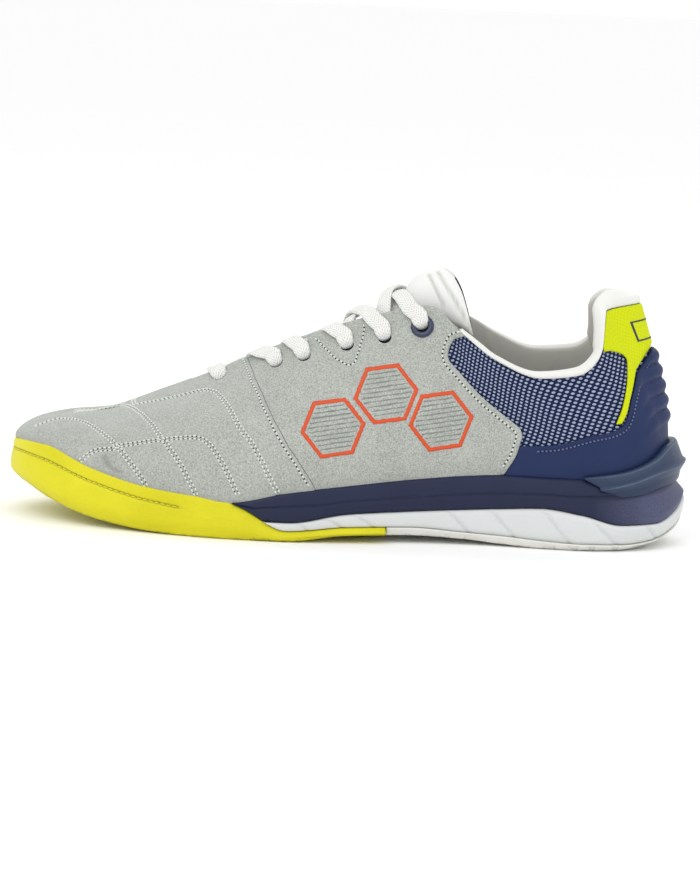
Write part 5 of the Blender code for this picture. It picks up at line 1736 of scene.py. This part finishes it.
def sew_line(name, line, side, offset, shift=0.0, colours=("thread", "needle_hole"), pitch=STITCH_PITCH, share=0.72):
    """Stitches along places and climbs; shift moves the row sideways, share is a stitch's part of the pitch."""
    points, normals = on_panel(line, side, offset), last_normal(on_side(line[:, 0], side), line[:, 1])
    points = points + unit(np.cross(normals, np.gradient(points, axis=0))) * shift
    even = even_points(np.concatenate((points, normals), axis=-1), pitch)
    sew(name, even[:, :3], unit(even[:, 3:]), *colours, pitch * share)


def add_stitches():
    for name, side in SIDES:
        for number, line in enumerate(stitched_lines):
            for row in (-0.5, 0.5):
                sew_line("vamp_%d_%s" % (number + 1, name), line, side, TOE_FACE - 0.36 * MM, row * ROW_SPACING)
        sew_line("seam_%s" % name, seam_line(2.0 * MM), side, TOE_FACE + 0.02 * MM)
        sew_line("quarter_%s" % name, rear_line(2.4 * MM), side, SIDE_FACE + 0.02 * MM)
        sew_line("eyelet_%s" % name, from_picture(smooth_line(EYELET_STITCHES, pieces=5)), side, SIDE_FACE + 0.02 * MM)
    places = np.linspace(11.9, PLACES - 11.9, 400)
    line = np.stack((places, counter_top(places)), axis=-1)
    colours, pitch = ("navy_thread", "navy_hole"), 1.7 * MM
    sew_line("counter", line, -1, SEAM_GAP + COUNTER_THICKNESS - 0.25 * MM, -2.2 * MM, colours, pitch, 1.2 * MM / pitch)


# Three hexagons printed on each side, as picture places of their middles
HEXAGONS = ((333, 428), (386, 394), (441, 421))
HEXAGON_RADIUS = 33
PRINT_WIDTH = 4.4
HEXAGON_TURN = math.radians(-8)
HATCH_SPACING = 4.6
HATCH_WIDTH = 0.8
PRINT_RISE = 0.14 * MM


def turned(middle, x, y):
    """Picture places at x and y from a hexagon's middle, along axes turned with it."""
    cos, sin = math.cos(HEXAGON_TURN), math.sin(HEXAGON_TURN)
    return np.stack((middle[0] + x * cos - y * sin, middle[1] + x * sin + y * cos), axis=-1)


def hexagon(middle, radius, pieces=12):
    """Picture places along a hexagon."""
    turn = np.arange(7) * math.pi / 3
    corners = turned(middle, radius * np.cos(turn), radius * np.sin(turn))
    share = np.arange(pieces)[:, None] / pieces
    return np.concatenate([start + (end - start) * share for start, end in zip(corners, corners[1:])])


def add_print(name, place, climb, face, finish, closed=True):
    """A print over a grid of places and climbs, on a face that stands that far off the last."""
    top, under = (shell_point(place, climb, face + rise) for rise in (PRINT_RISE, -0.15 * MM))
    return add_shell(name, top, under, FINISHES[finish], closed=closed)


def add_strip(name, edges, side, finish, closed):
    """A thin printed strip between lines of picture places."""
    lines = np.stack([from_picture(dots) for dots in edges], axis=1)
    return add_print(name, on_side(lines[..., 0], side), lines[..., 1], SIDE_FACE, finish, closed)


def add_motif():
    inner_radius = HEXAGON_RADIUS - PRINT_WIDTH
    reach = inner_radius * math.cos(math.pi / 6) - 1
    for name, side in SIDES:
        for number, middle in enumerate(HEXAGONS):
            rings = [hexagon(middle, HEXAGON_RADIUS - way) for way in (0, PRINT_WIDTH / 2, PRINT_WIDTH)]
            add_strip("hexagon_%d_%s" % (number + 1, name), rings, side, "print", True)
            strips = []
            for level in np.arange(-reach + HATCH_SPACING / 2, reach, HATCH_SPACING):
                half = inner_radius - abs(level) / math.tan(math.pi / 3) - 2
                x = np.linspace(-half, half, 14)
                edges = [turned(middle, x, level + width + 0 * x) for width in (-HATCH_WIDTH / 2, HATCH_WIDTH / 2)]
                strips.append(add_strip("hatch", edges, side, "hatch", False))
            join("hatch_%d_%s" % (number + 1, name), strips)


# An empty label behind the heel, half of it on each side
LABEL_HALF_WIDTH = 0.52
LABEL_LOW = 0.780
LABEL_HIGH = 0.900
LABEL_LINE = (0.045, 0.0085)


def add_label():
    """The outline of an empty rectangle on the heel's mesh."""
    turn = np.linspace(0, 2 * math.pi, 121)[:-1]
    square = np.stack((np.cos(turn), np.sin(turn)), axis=-1)
    square /= np.abs(square).max(axis=-1, keepdims=True)
    middle = np.array((LAST_ROW, (LABEL_LOW + LABEL_HIGH) / 2))
    half = np.array((LABEL_HALF_WIDTH, (LABEL_HIGH - LABEL_LOW) / 2))
    rings = np.stack([middle + square * (half - np.array(LABEL_LINE) * way) for way in (0, 0.5, 1)], axis=1)
    add_print("label_outline", rings[..., 0], rings[..., 1], PANEL_GAP + TAB_THICKNESS, "label")


def join(name, parts):
    bpy.ops.object.select_all(action="DESELECT")
    for part in parts:
        part.select_set(True)
    bpy.context.view_layer.objects.active = parts[0]
    bpy.ops.object.join()
    parts[0].name = name


# The stage

FLOOR_SIZE = 60
LIT_POINT = (0, 0, 0.05)
LIGHTS = (
    # name, place, size, energy
    ("key", (-0.7, -1.1, 1.5), 1.3, 9),
    ("fill", (1.2, -0.9, 1.1), 1.4, 3),
    ("back", (0.1, 1.3, 1.2), 1.4, 4),
)


def add_stage():
    bpy.ops.object.select_all(action="DESELECT")
    bpy.ops.mesh.primitive_plane_add(size=FLOOR_SIZE, location=(0, 0, -0.02 * MM))
    floor = bpy.context.object
    floor.name = "floor"
    paint = plain_finish("floor_paint", (0.97, 0.97, 0.97), (0.98, 0.98, 0.98), 0.9, 40 * MM, 0.01 * MM)
    floor.data.materials.append(paint)
    world = bpy.data.worlds.new("studio")
    world.use_nodes = True
    world.node_tree.nodes["Background"].inputs["Color"].default_value = (1, 1, 1, 1)
    world.node_tree.nodes["Background"].inputs["Strength"].default_value = 1.0
    bpy.context.scene.world = world
    bpy.context.scene.view_settings.view_transform = "Standard"
    for name, place, size, energy in LIGHTS:
        light = bpy.data.objects.new(name, bpy.data.lights.new(name, "AREA"))
        light.data.size = size
        light.data.energy = energy
        light.location = place
        light.rotation_euler = (Vector(LIT_POINT) - Vector(place)).to_track_quat("-Z", "Y").to_euler()
        bpy.context.scene.collection.objects.link(light)


def main():
    add_camera()
    add_stage()
    add_upper()
    add_toe_panel()
    for name, side in SIDES:
        add_side_panel(name, side)
        add_eyelet_ring("ring_%s" % name, side)
    add_eyelet_shadows()
    add_counter()
    add_tab()
    add_lining()
    add_tongue()
    add_laces()
    add_forefoot()
    add_midsole()
    add_lower_midsole()
    add_heel_outsole()
    add_stabilizer()
    add_stitches()
    add_motif()
    add_label()
    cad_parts["insole"].data.materials[0] = FINISHES["insole_foam"]


main()
